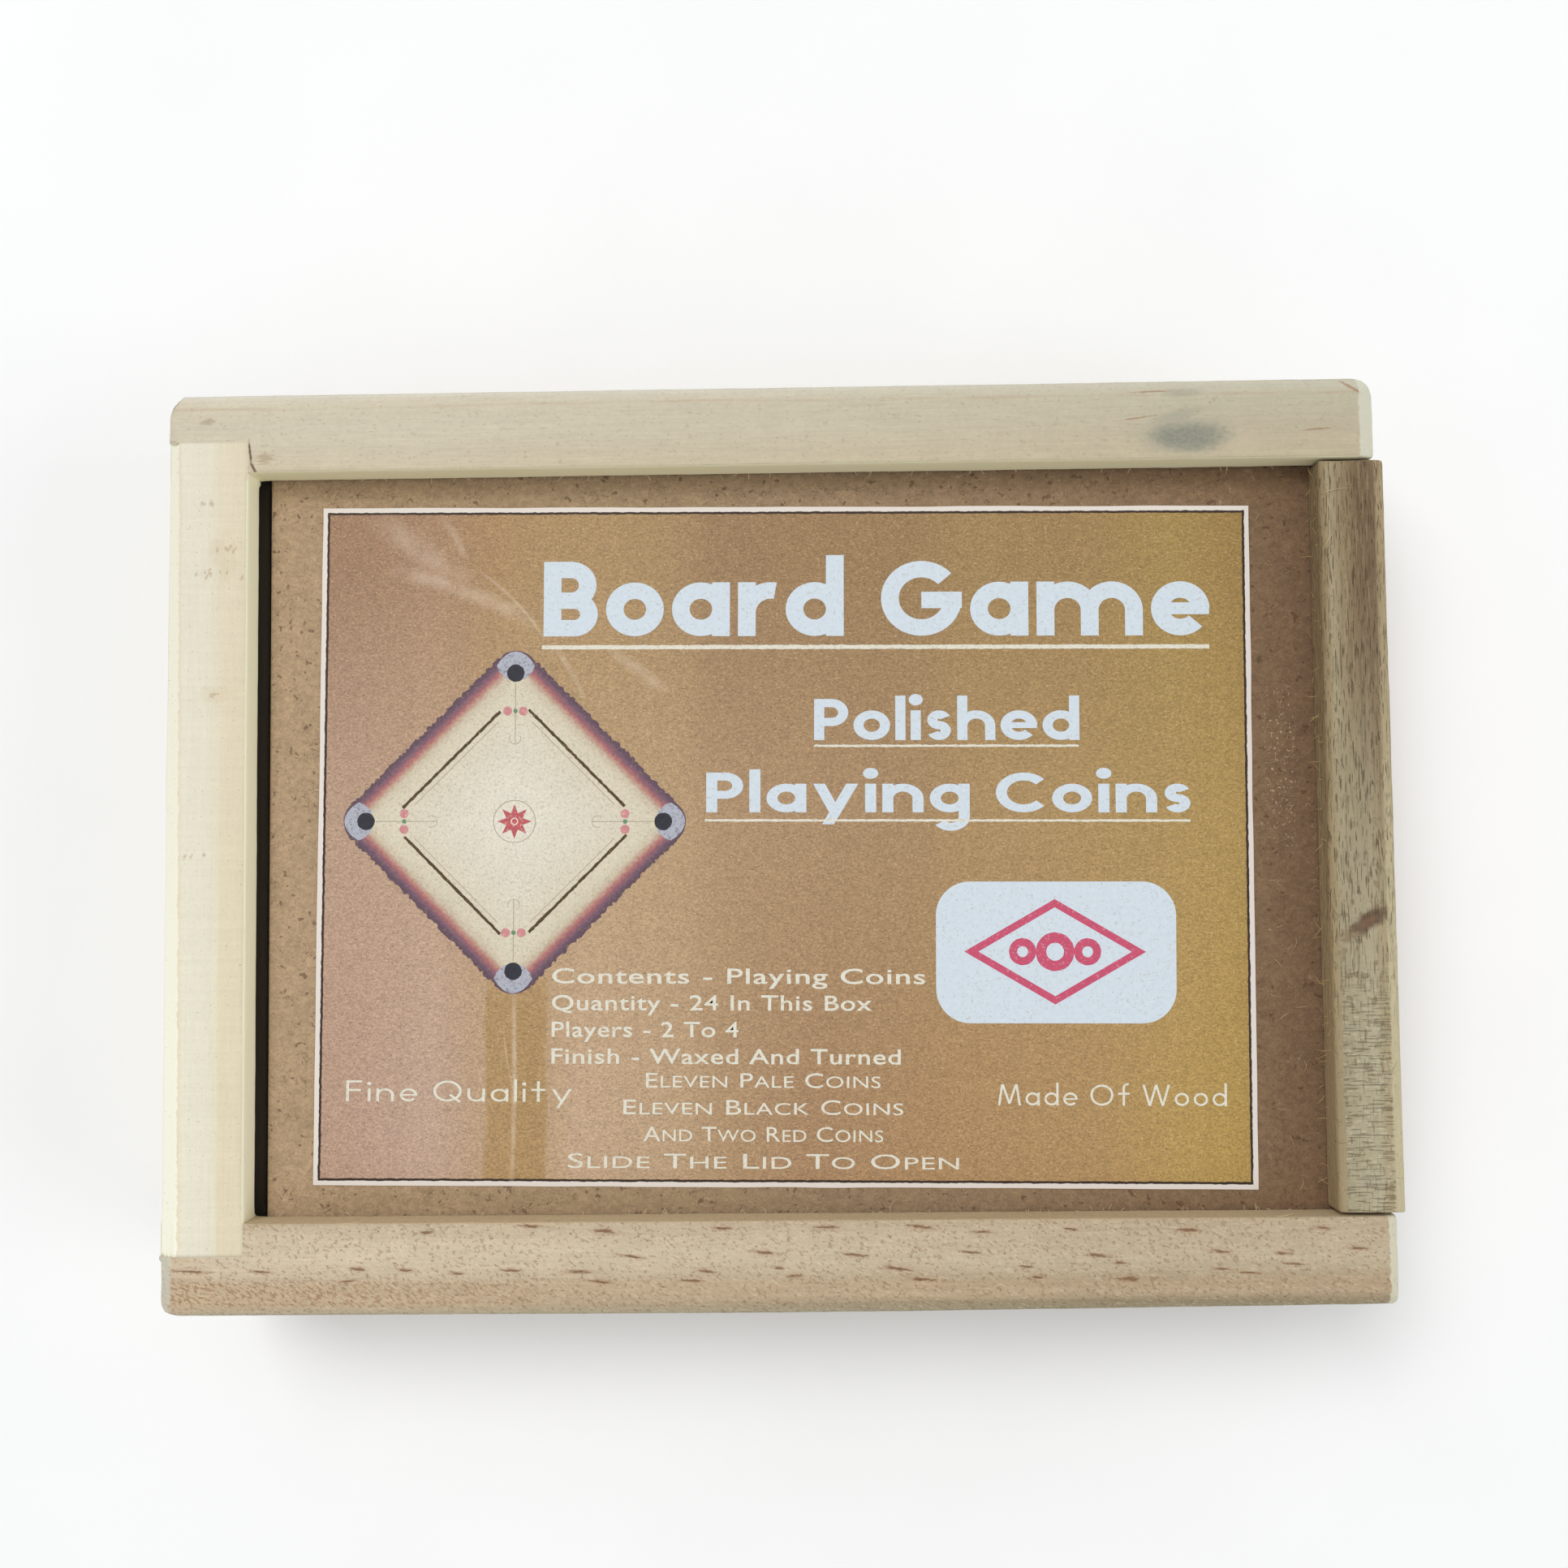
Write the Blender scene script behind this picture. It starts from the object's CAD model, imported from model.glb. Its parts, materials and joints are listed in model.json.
"""Looks of a small wooden box of carrom coins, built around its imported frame.

The box stands on its base with its sliding lid at the top. +X points to the end that the lid slides out
of and +Y to the back rail. Lengths in this file are in millimetres and become metres in the meshes.
"""
import json
import math

import bpy
import numpy as np
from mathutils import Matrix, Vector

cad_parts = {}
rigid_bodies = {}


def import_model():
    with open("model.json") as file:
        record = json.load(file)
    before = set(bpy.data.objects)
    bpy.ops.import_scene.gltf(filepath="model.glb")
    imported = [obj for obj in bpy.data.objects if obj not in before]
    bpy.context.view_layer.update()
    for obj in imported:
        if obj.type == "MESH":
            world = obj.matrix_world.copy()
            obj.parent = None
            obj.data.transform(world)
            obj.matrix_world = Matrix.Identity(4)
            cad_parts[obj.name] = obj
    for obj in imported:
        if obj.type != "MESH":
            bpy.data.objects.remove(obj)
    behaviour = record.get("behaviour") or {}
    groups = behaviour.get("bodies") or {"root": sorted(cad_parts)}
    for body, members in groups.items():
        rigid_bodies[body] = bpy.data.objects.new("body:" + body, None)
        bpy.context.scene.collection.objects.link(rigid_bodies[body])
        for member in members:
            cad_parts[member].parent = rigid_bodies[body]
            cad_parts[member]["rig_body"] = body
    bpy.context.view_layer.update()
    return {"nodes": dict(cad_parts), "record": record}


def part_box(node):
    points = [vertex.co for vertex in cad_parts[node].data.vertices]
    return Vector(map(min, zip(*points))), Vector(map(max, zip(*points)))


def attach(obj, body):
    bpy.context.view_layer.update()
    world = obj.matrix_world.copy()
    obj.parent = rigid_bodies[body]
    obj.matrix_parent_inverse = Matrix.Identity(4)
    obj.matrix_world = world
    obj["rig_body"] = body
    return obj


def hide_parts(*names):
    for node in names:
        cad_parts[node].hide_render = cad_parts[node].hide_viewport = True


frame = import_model()

MM = 0.001
SCENE = bpy.context.scene

# The printed label lies a little askew on the lid panel
LABEL_LENGTH = 122.1
LABEL_WIDTH = 88.8
LABEL_TURN = math.radians(-0.65)
INK_LIFT = 0.008
INK_THICKNESS = 0.012

# The four sides, which are glued to one another
FRAME_PARTS = ("side_rail_back", "side_rail_front", "end_rail_left", "end_rail_right")

# How far the lid goes in from rest, and its slack below, above and at the end of the end rail's groove
LID_SHUTS_BY = 3.2
LID_SLACK = (0.1, 0.3, 0.15)

# Axes by number
X, Y, Z = 0, 1, 2


def node_box(name):
    """The lowest and highest corners of a CAD node, in millimetres."""
    low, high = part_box(name)
    return np.array(low) / MM, np.array(high) / MM


# ---- Camera, light and floor ----

def add_camera():
    """A phone held level above the box, leaning back a little."""
    height_above_rails = 201.3
    aside, forward = 5.13, -2.93
    lean = (2.951, 0.995, -0.606)
    rail_top = node_box("side_rail_back")[1][Z]
    camera = bpy.data.objects.new("camera", bpy.data.cameras.new("camera"))
    SCENE.collection.objects.link(camera)
    camera.data.sensor_width = 36
    camera.data.lens = 36.34
    camera.data.clip_start = 0.01
    camera.location = (aside * MM, forward * MM, (rail_top + height_above_rails) * MM)
    camera.rotation_euler = [math.radians(angle) for angle in lean]
    SCENE.camera = camera


def add_area_light(name, place, size, watts):
    """A square soft light at a place in metres, aimed at the box."""
    lamp = bpy.data.lights.new(name, "AREA")
    lamp.size = size
    lamp.energy = watts
    light = bpy.data.objects.new(name, lamp)
    SCENE.collection.objects.link(light)
    light.location = place
    light.visible_camera = False
    aim = -light.location
    light.rotation_euler = aim.to_track_quat("-Z", "Y").to_euler()


def add_world():
    """A white room: soft fill light on the box, and a paler backdrop where the camera sees it."""
    fill_strength, seen_strength = 0.58, 0.93
    world = bpy.data.worlds.new("white_room")
    world.use_nodes = True
    nodes = world.node_tree.nodes
    links = world.node_tree.links
    nodes.clear()
    choice = nodes.new("ShaderNodeMixShader")
    rooms = ((fill_strength, (0.98, 0.99, 1, 1)), (seen_strength, (1, 1, 1, 1)))
    for socket, (strength, color) in zip(choice.inputs[1:], rooms):
        background = nodes.new("ShaderNodeBackground")
        background.inputs["Strength"].default_value = strength
        background.inputs["Color"].default_value = color
        links.new(background.outputs[0], socket)
    path = nodes.new("ShaderNodeLightPath")
    output = nodes.new("ShaderNodeOutputWorld")
    links.new(path.outputs["Is Camera Ray"], choice.inputs[0])
    links.new(choice.outputs[0], output.inputs["Surface"])
    SCENE.world = world


def add_studio():
    """The room, a soft light from behind on the left, a weaker one from the right, and a pale floor."""
    SCENE.view_settings.view_transform = "Standard"
    add_world()
    add_area_light("window", (-1.2, 1.56, 3.3), 1.8, 62)
    add_area_light("side_fill", (3.9, -0.9, 2.1), 2.7, 44)
    half_size = 4.0
    mesh = bpy.data.meshes.new("floor")
    corners = [(x * half_size, y * half_size, 0) for x, y in ((-1, -1), (1, -1), (1, 1), (-1, 1))]
    mesh.from_pydata(corners, [], [(0, 1, 2, 3)])
    floor = bpy.data.objects.new("floor", mesh)
    SCENE.collection.objects.link(floor)
    floor.data.materials.append(paper_floor())


# ---- Materials ----

def rgb(color):
    """A linear colour with alpha from sRGB levels of 0 to 255. A socket is given back as it is."""
    if isinstance(color, bpy.types.NodeSocket):
        return color
    levels = [channel / 255 for channel in color]
    return [c / 12.92 if c <= 0.04045 else ((c + 0.055) / 1.055) ** 2.4 for c in levels] + [1]


def grain_size(along, length, width):
    """A noise's size along each axis: length along the grain and width across it."""
    return [length if axis == along else width for axis in (X, Y, Z)]


class Graph:
    """A material whose nodes are made by short calls. Inputs are sockets or plain values."""

    def __init__(self, name):
        self.material = bpy.data.materials.new(name)
        self.material.use_nodes = True
        self.tree = self.material.node_tree
        self.tree.nodes.clear()
        self.shader = self.add("ShaderNodeBsdfPrincipled")
        output = self.add("ShaderNodeOutputMaterial")
        self.tree.links.new(self.shader.outputs[0], output.inputs["Surface"])
        coordinates = self.add("ShaderNodeTexCoord")
        self.place = self.vector("SCALE", coordinates.outputs["Object"], scale=1 / MM)
        self.normal = coordinates.outputs["Normal"]

    def add(self, kind, **settings):
        node = self.tree.nodes.new(kind)
        for setting, value in settings.items():
            setattr(node, setting, value)
        return node

    def put(self, socket, value):
        if isinstance(value, bpy.types.NodeSocket):
            self.tree.links.new(value, socket)
        else:
            socket.default_value = value

    def math(self, operation, a, b=0.0):
        node = self.add("ShaderNodeMath", operation=operation)
        self.put(node.inputs[0], a)
        self.put(node.inputs[1], b)
        return node.outputs[0]

    def less(self, a, b):
        return self.math("SUBTRACT", a, b)

    def plus(self, a, b):
        return self.math("ADD", a, b)

    def vector(self, operation, a, b=(0, 0, 0), scale=1.0):
        node = self.add("ShaderNodeVectorMath", operation=operation)
        self.put(node.inputs[0], a)
        self.put(node.inputs[1], b)
        if operation == "SCALE":
            self.put(node.inputs["Scale"], scale)
        name = "Value" if operation in ("LENGTH", "DOT_PRODUCT") else "Vector"
        return node.outputs[name]

    def parts(self, vector):
        node = self.add("ShaderNodeSeparateXYZ")
        self.put(node.inputs[0], vector)
        return node.outputs

    def join(self, x, y, z=0.0):
        node = self.add("ShaderNodeCombineXYZ")
        for socket, value in zip(node.inputs, (x, y, z)):
            self.put(socket, value)
        return node.outputs[0]

    def noise(self, size, seed=0.0, detail=2.0, place=None, warp=0.0):
        """Noise about 0.5 whose features are size millimetres along each axis."""
        stretch = [1 / length for length in size]
        spot = self.vector("MULTIPLY", place or self.place, stretch)
        spot = self.vector("ADD", spot, (seed * 7.31, seed * 3.17, seed * 5.53))
        node = self.add("ShaderNodeTexNoise")
        self.put(node.inputs["Vector"], spot)
        node.inputs["Scale"].default_value = 1.0
        node.inputs["Detail"].default_value = detail
        node.inputs["Distortion"].default_value = warp
        return node.outputs["Fac"]

    def fit(self, value, low, high, to_low=0.0, to_high=1.0, smooth=True):
        """value from low to high as to_low to to_high, held beyond both."""
        node = self.add("ShaderNodeMapRange", interpolation_type="SMOOTHSTEP" if smooth else "LINEAR")
        for socket, number in zip(node.inputs, (value, low, high, to_low, to_high)):
            self.put(socket, number)
        return node.outputs[0]

    def ramp(self, value, stops):
        """A colour ramp over stops of (value, sRGB colour), in rising order."""
        low, high = stops[0][0], stops[-1][0]
        node = self.add("ShaderNodeValToRGB")
        self.put(node.inputs[0], self.fit(value, low, high, smooth=False))
        elements = node.color_ramp.elements
        while len(elements) < len(stops):
            elements.new(0.5)
        for element, (at, color) in zip(elements, stops):
            element.position = (at - low) / (high - low)
            element.color = rgb(color)
        return node.outputs[0]

    def mix(self, share, a, b):
        """Colour a turning into sRGB colour or socket b as share goes from 0 to 1."""
        node = self.add("ShaderNodeMix", data_type="RGBA")
        self.put(node.inputs[0], share)
        self.put(node.inputs[6], rgb(a))
        self.put(node.inputs[7], rgb(b))
        return node.outputs[2]

    def shade(self, color, *grains):
        """color, a socket or sRGB, made darker and lighter by each (value, amount) as value goes
        from 0 to 1."""
        color = color if isinstance(color, bpy.types.NodeSocket) else rgb(color)[:3]
        for value, amount in grains:
            factor = self.fit(value, 0.2, 0.8, 1 - amount, 1 + amount, smooth=False)
            color = self.vector("SCALE", color, scale=factor)
        return color

    def tint(self, color, mask, share, tone):
        """color turned towards tone by share where mask is 1."""
        return self.mix(self.both(mask, share), color, tone)

    def both(self, *masks):
        product = masks[0]
        for mask in masks[1:]:
            product = self.math("MULTIPLY", product, mask)
        return product

    def gap(self, value, at):
        """How far value is from at."""
        return self.math("ABSOLUTE", self.less(value, at))

    def wander(self, value, size, seed, reach, place=None):
        """value moved by a smooth random amount of up to reach."""
        noise = self.noise(size, seed=seed, place=place)
        return self.plus(value, self.fit(noise, 0.2, 0.8, -reach, reach, smooth=False))

    def spot(self, x, y, length, width, angle=0.0, rough=0.0):
        """A soft oval mark round x, y: 1 in the middle and 0 outside, turned by angle degrees.
        rough is a noise that makes its edge uneven."""
        px, py, _ = self.parts(self.place)
        dx = self.less(px, x)
        dy = self.less(py, y)
        c, s = math.cos(math.radians(angle)), math.sin(math.radians(angle))
        along = self.plus(self.both(dx, c / length), self.both(dy, s / length))
        across = self.plus(self.both(dx, -s / width), self.both(dy, c / width))
        reach = self.vector("LENGTH", self.join(along, across))
        return self.fit(self.plus(reach, rough), 0.3, 1.0, 1.0, 0.0)

    def marks(self, places, seed, size=(1.2, 0.3, 1), uneven=0.6):
        """Several spots, given as the numbers that spot takes, with one noise for all their edges."""
        rough = self.wander(0.0, size, seed, uneven)
        total = 0.0
        for place in places:
            total = self.math("MAXIMUM", total, self.spot(*place, rough=rough))
        return total

    def tilted(self, angle):
        """The place, turned by angle degrees about Z."""
        node = self.add("ShaderNodeVectorRotate", rotation_type="Z_AXIS")
        self.put(node.inputs["Vector"], self.place)
        node.inputs["Angle"].default_value = math.radians(angle)
        return node.outputs[0]

    def facing(self, x=0, y=0, z=0):
        """1 on faces that point along a direction, 0 on the others."""
        return self.fit(self.vector("DOT_PRODUCT", self.normal, (x, y, z)), 0.55, 0.85)

    def dashes(self, size, seed, level, soft=0.04, place=None):
        """Scattered short streaks: 1 inside and 0 outside. A lower level gives more of them."""
        return self.fit(self.noise(size, seed=seed, detail=1, place=place), level, level + soft)

    def fibres(self, size, seed, width, mask_size=(3, 3, 3), level=0.55, place=None):
        """Fine curly lines, only in scattered patches."""
        line = self.noise(size, seed=seed, detail=2, place=place, warp=0.6)
        line = self.math("ABSOLUTE", self.less(line, 0.5))
        line = self.fit(line, 0.0, width, 1.0, 0.0)
        patches = self.noise(mask_size, seed=seed + 3, detail=1, place=place)
        return self.both(line, self.fit(patches, level, level + 0.05))

    def finish(self, color, rough, height=None, depth=0.1, specular=0.3):
        """Sets the surface: height is a bump from 0 to 1, depth millimetres deep."""
        self.put(self.shader.inputs["Base Color"], color)
        self.put(self.shader.inputs["Roughness"], rough)
        self.shader.inputs["Specular IOR Level"].default_value = specular
        if height is not None:
            bump = self.add("ShaderNodeBump")
            bump.inputs["Strength"].default_value = 1.0
            bump.inputs["Distance"].default_value = depth * MM
            self.put(bump.inputs["Height"], height)
            self.put(self.shader.inputs["Normal"], bump.outputs[0])
        return self.material


def paper_floor():
    g = Graph("floor_paper")
    tone = g.noise((60, 60, 60), seed=1, detail=3)
    color = g.ramp(tone, [(0.3, (249, 249, 249)), (0.7, (253, 253, 253))])
    return g.finish(color, 0.9, specular=0.1)


def wood_grain(g, color, along, seed, strength, pores):
    """Adds fine grain along one axis to color, and gives the grain as a height."""
    bands = g.noise(grain_size(along, 90, 3.2), seed=seed)
    fine = g.noise(grain_size(along, 12, 0.5), seed=seed + 1, detail=3)
    hairline = g.noise(grain_size(along, 4, 0.2), seed=seed + 2)
    mottle = g.noise((0.55, 0.45, 0.55), seed=seed + 3)
    cloud = g.noise((3, 3, 3), seed=seed + 4)
    amounts = ((bands, 0.04), (fine, 0.05), (hairline, 0.05), (mottle, 0.06), (cloud, 0.03))
    color = g.shade(color, *[(part, amount * strength) for part, amount in amounts])
    speck = g.dashes((0.55, 0.55, 0.4), seed + 5, 0.68 - 0.05 * pores, 0.09, place=g.tilted(24))
    color = g.tint(color, speck, 0.3 * pores, (132, 98, 66))
    height = g.plus(g.both(fine, 0.5), g.both(hairline, 0.3))
    height = g.less(height, g.both(speck, 0.4 * pores))
    return color, height


def sawn_side(g, color, mask, along, seed, strength=1.0):
    """Adds stronger grain and upright saw marks to color where mask is 1, on a rail's outer side."""
    figure = g.noise(grain_size(along, 70, 2.2), seed=seed, warp=0.2)
    side = g.shade(color, (figure, 0.09), (g.noise((14, 14, 9), seed=seed + 1), 0.05))
    grain = g.dashes(grain_size(along, 26, 0.4), seed + 2, 0.57, 0.06)
    saw_marks = g.dashes(grain_size(along, 0.3, 5), seed + 3, 0.62, 0.06)
    side = g.tint(side, grain, 0.34 * strength, (164, 134, 94))
    side = g.tint(side, saw_marks, 0.14 * strength, (158, 138, 104))
    return g.mix(mask, color, side)


def end_grain(g, color, axis, tone, seed, band=3.0):
    """Turns color into end grain, rings and pores, on faces that point along axis."""
    facing = g.fit(g.math("ABSOLUTE", g.parts(g.normal)[axis]), 0.55, 0.8)
    ring = g.noise((band, band * 3, band), seed=seed, warp=0.4)
    pores = g.noise((0.35, 0.35, 0.35), seed=seed + 1)
    return g.mix(facing, color, g.shade(tone, (ring, 0.14), (pores, 0.12)))


def groove_dirt(g, color, node, axis, side):
    """Darkens the lid's groove, which is cut into the inner face of a side at the low or high side of
    its box along axis."""
    panel_low, panel_high = node_box("lid_panel")
    place = g.parts(g.place)
    depth = g.both(g.less(place[axis], node_box(node)[1 - side][axis]), 2 * side - 1)
    middle = (panel_low[Z] + panel_high[Z]) / 2
    in_groove = g.fit(g.gap(place[Z], middle + 0.1), 1.85, 1.75)
    under_roof = (g.fit(place[Z], 24.1, 24.0), g.fit(place[Z], 17.0, 18.6))
    shut_end = g.both(g.fit(place[X], -65.9, -66.3), *under_roof)
    near_face = (g.fit(depth, -0.1, 0.0), g.fit(depth, 3.6, 3.4))
    mask = g.both(g.math("MAXIMUM", in_groove, shut_end), *near_face)
    return g.tint(color, mask, 0.9, (66, 54, 42))


def back_rail_wood():
    """Pale straight-grained pine with a grey stain and two resin lines near its right end."""
    g = Graph("pine_back_rail")
    x, y, _ = g.parts(g.place)
    left = g.ramp(y, [(48.7, (206, 193, 165)), (49.6, (207, 194, 168)), (52.2, (207, 197, 173)),
                      (54, (209, 200, 177)), (57.3, (209, 199, 176)), (58.3, (212, 203, 182)),
                      (59, (219, 213, 197))])
    right = g.ramp(y, [(48.7, (192, 180, 151)), (50, (190, 178, 150)), (53, (189, 178, 153)),
                       (56, (190, 182, 157)), (57.3, (191, 184, 161)), (58.6, (198, 193, 172))])
    color = g.mix(g.fit(x, -46, 68, smooth=False), left, right)
    color, height = wood_grain(g, color, X, 10, 0.85, 0.5)
    ticks = g.dashes((1.3, 0.2, 0.5), 16, 0.715, 0.04, place=g.tilted(4))
    color = g.tint(color, ticks, 0.36, (146, 114, 80))
    ring_line = g.fit(g.gap(g.wander(y, (40, 9, 9), 2, 0.35), 57.05), 0.0, 0.35, 1.0, 0.0)
    ring_line = g.both(ring_line, g.fit(g.noise((9, 9, 9), seed=3), 0.4, 0.6, 0.25, 1.0))
    color = g.tint(color, ring_line, 0.28, (180, 140, 110))
    hazes = ((53.4, 51.7, 8.0, 3.6, 4), (53.4, 57.3, 3.4, 0.9, 4), (52.8, 54.2, 4.6, 1.2, 12))
    haze = g.marks(hazes, 4, (2, 1, 2), 0.1)
    color = g.tint(color, haze, 0.42, (148, 149, 134))
    stain = g.marks(((55.0, 51.4, 5.6, 2.5, 3), (52.6, 51.5, 4.6, 2.2, -6)), 5, (0.8, 0.5, 1), 0.16)
    color = g.tint(color, stain, 0.52, (118, 123, 114))
    grey_grains = g.dashes((0.4, 0.3, 1), 7, 0.5, 0.1)
    color = g.tint(color, g.both(stain, grey_grains), 0.2, (92, 98, 94))
    lines = ((47.3, 54.0, 3.3, 0.16, 7), (71.0, 52.3, 3.0, 0.15, 4), (-77.0, 57.3, 2.0, 0.18, 60),
             (75.2, 57.6, 2.6, 0.3, -38), (49.5, 57.5, 3.5, 0.2, 2))
    resin = g.marks(lines, 6, (1, 0.3, 1), 0.4)
    color = g.tint(color, resin, 0.6, (150, 100, 68))
    splits = ((-66.95, 51.2, 2.3, 0.24, -84), (-66.5, 49.2, 1.3, 0.28, -62))
    split = g.marks(splits, 8, (0.6, 0.6, 1), 0.3)
    color = g.tint(color, split, 0.85, (94, 58, 38))
    smudge = g.marks(((-65.0, 50.4, 1.6, 0.9), (-72.5, 55.4, 1.0, 0.7)), 9)
    color = g.tint(color, smudge, 0.42, (146, 120, 82))
    color = g.tint(color, g.facing(y=-1), 0.9, (246, 241, 204))
    color = sawn_side(g, color, g.facing(y=1), X, 20)
    color = end_grain(g, color, X, (206, 203, 178), 14)
    color = g.tint(color, g.fit(g.wander(x, (1, 1.2, 1), 12, 0.25), 75.8, 76.1), 0.7, (216, 216, 198))
    color = groove_dirt(g, color, "side_rail_back", Y, 1)
    return g.finish(color, 0.72, height, 0.12)


def resin_dashes():
    """Where the front rail's dark dashes lie, as the numbers that spot takes."""
    rows = [(-73.6, -53.3, 3.2, 0.2, -3), (-64.8, -53.35, 1.7, 0.22, -4), (-52.7, -53.1, 1.3, 0.26, -9),
            (-46.5, -53.3, 1.3, 0.26, -6), (-40.2, -53.7, 1.3, 0.22, -2), (-33.4, -53.4, 2.0, 0.24, -1),
            (-54, -54.6, 1.4, 0.16, 3), (-43.8, -48.6, 1.1, 0.3, -4), (-30.7, -47.9, 2.0, 0.26, -3)]
    rng = np.random.default_rng(45)
    for lane in (-48.6, -51.6, -53.4, -54.6):
        at = -26 + rng.uniform(0, 8)
        while at < 74:
            rows.append((at, lane + rng.uniform(-0.5, 0.5), rng.uniform(1.0, 2.3),
                         rng.uniform(0.18, 0.32), rng.uniform(-9, 1)))
            at += rng.uniform(7, 17)
    return rows


def front_rail_wood():
    """Coarser, warmer pine with dark resin dashes along it and a rough outer edge."""
    g = Graph("pine_front_rail")
    x, y, _ = g.parts(g.place)
    left = g.ramp(y, [(-59, (186, 176, 152)), (-58.4, (188, 172, 144)), (-57.6, (194, 172, 142)),
                      (-55.2, (196, 174, 144)), (-54.3, (201, 182, 154)), (-53, (207, 190, 163)),
                      (-51, (212, 196, 169)), (-49.5, (210, 193, 165)), (-47.6, (200, 181, 152))])
    right = g.ramp(y, [(-59, (152, 142, 116)), (-57.7, (152, 138, 110)), (-57.2, (166, 149, 120)),
                       (-56.6, (180, 159, 130)), (-55.3, (178, 156, 126)), (-53.8, (184, 167, 138)),
                       (-52.5, (191, 175, 148)), (-50, (189, 171, 143)), (-48, (188, 169, 141))])
    color = g.mix(g.fit(x, -48, 45, smooth=False), left, right)
    color = g.tint(color, g.fit(x, -70, -76), 0.3, (205, 178, 148))
    color, height = wood_grain(g, color, 0, 30, 1.35, 1.0)
    ticks = g.dashes((0.6, 0.28, 0.6), 42, 0.61, 0.06, place=g.tilted(32))
    color = g.tint(color, ticks, 0.42, (140, 102, 66))
    curls = g.dashes((0.8, 0.3, 0.6), 41, 0.52, 0.08, place=g.tilted(34))
    rough_band = g.both(g.fit(y, -58.0, -57.4), g.fit(y, -53.9, -55.0), g.fit(x, -12, -60, 0.15, 1.0))
    color = g.tint(color, g.both(curls, rough_band), 0.52, (146, 102, 64))
    pale_curls = g.dashes((0.9, 0.26, 0.6), 46, 0.6, 0.06, place=g.tilted(22))
    color = g.tint(color, pale_curls, 0.22, (230, 214, 184))
    rows = resin_dashes()
    wide_rows = [(at, lane, length * 1.4, width * 2.2, turn) for at, lane, length, width, turn in rows]
    halo = g.marks(wide_rows, 48)
    color = g.tint(color, halo, 0.3, (170, 136, 100))
    color = g.tint(color, g.marks(rows, 47, (0.9, 0.25, 1), 0.5), 0.75, (112, 72, 44))
    color = g.tint(color, g.facing(y=1), 0.6, (204, 184, 146))
    color = sawn_side(g, color, g.facing(y=-1), X, 24)
    color = end_grain(g, color, X, (196, 190, 164), 34)
    saw_edge = g.wander(x, (1, 1.2, 1), 49, 0.3)
    color = g.tint(color, g.fit(saw_edge, 76.5, 76.8), 0.8, (214, 211, 188))
    color = g.tint(color, g.fit(saw_edge, -76.1, -76.7), 0.7, (206, 204, 188))
    color = groove_dirt(g, color, "side_rail_front", Y, 0)
    return g.finish(color, 0.75, height, 0.16)


def end_rail_wood():
    """Creamy sapwood, almost white at its outer edge, with a peach band along its inner edge."""
    g = Graph("pine_end_rail")
    x, y, _ = g.parts(g.place)
    back = g.ramp(x, [(-76.2, (231, 225, 205)), (-72, (228, 221, 200)), (-70.9, (226, 216, 192)),
                      (-70.4, (227, 216, 190)), (-67.3, (224, 212, 185))])
    front = g.ramp(x, [(-76.2, (236, 231, 210)), (-72.5, (232, 226, 204)), (-70.9, (230, 223, 199)),
                       (-70.4, (226, 214, 184)), (-67.3, (225, 212, 183))])
    color = g.mix(g.fit(y, 40, -30), back, front)
    color, height = wood_grain(g, color, Y, 50, 0.45, 0.12)
    color = g.shade(color, (g.noise((22, 0.5, 2), seed=51), 0.035))
    edge = g.wander(g.plus(x, g.both(y, 0.0069)), (0.8, 0.8, 3), 56, 0.22)
    color = g.tint(color, g.fit(g.gap(edge, -75.8), 0.5, 0.1), 0.3, (236, 208, 166))
    outer = g.mix(g.fit(y, 40, -30), (241, 238, 217), (250, 248, 228))
    color = g.mix(g.fit(edge, -75.85, -76.05), color, outer)
    rng = np.random.default_rng(52)
    ticks = [(-71.6, 19.7, 0.55, 0.42, 20), (-71.3, 19.9, 1.0, 0.2, 0)]
    clusters = ((-71.6, 35.6, 9), (-70, 38.6, 6), (-71.8, 44.6, 6), (-73.4, -1.0, 3))
    for cluster_x, cluster_y, count in clusters:
        for _ in range(count):
            ticks.append((cluster_x + rng.normal(0, 1.3), cluster_y + rng.normal(0, 0.45),
                          rng.uniform(0.15, 0.3), rng.uniform(0.3, 0.6), rng.uniform(-30, 15)))
    color = g.tint(color, g.marks(ticks, 53, (0.3, 0.3, 1)), 0.45, (168, 134, 92))
    halo = g.marks(((-71.4, 19.8, 2.6, 1.4), (-70.8, 38, 3, 4)), 55, (2, 2, 2))
    color = g.tint(color, halo, 0.14, (196, 164, 116))
    specks = g.dashes((0.3, 0.3, 0.3), 57, 0.7, 0.04)
    color = g.tint(color, specks, 0.35, (150, 130, 92))
    color = g.tint(color, g.facing(x=1), 0.95, (255, 253, 224))
    color = g.tint(color, g.facing(x=-1), 0.35, (206, 188, 152))
    color = sawn_side(g, color, g.facing(x=-1), Y, 60, strength=0.5)
    color = end_grain(g, color, Y, (226, 214, 188), 54)
    color = groove_dirt(g, color, "end_rail_left", X, 0)
    return g.finish(color, 0.7, height, 0.12)


def low_wall_wood():
    g = Graph("pine_low_wall")
    y = g.parts(g.place)[1]
    color = g.ramp(y, [(-50, (196, 178, 148)), (0, (206, 188, 158)), (50, (202, 186, 158))])
    color, height = wood_grain(g, color, 1, 70, 1.1, 0.6)
    color = end_grain(g, color, 1, (188, 168, 138), 74)
    return g.finish(color, 0.75, height, 0.15)


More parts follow.
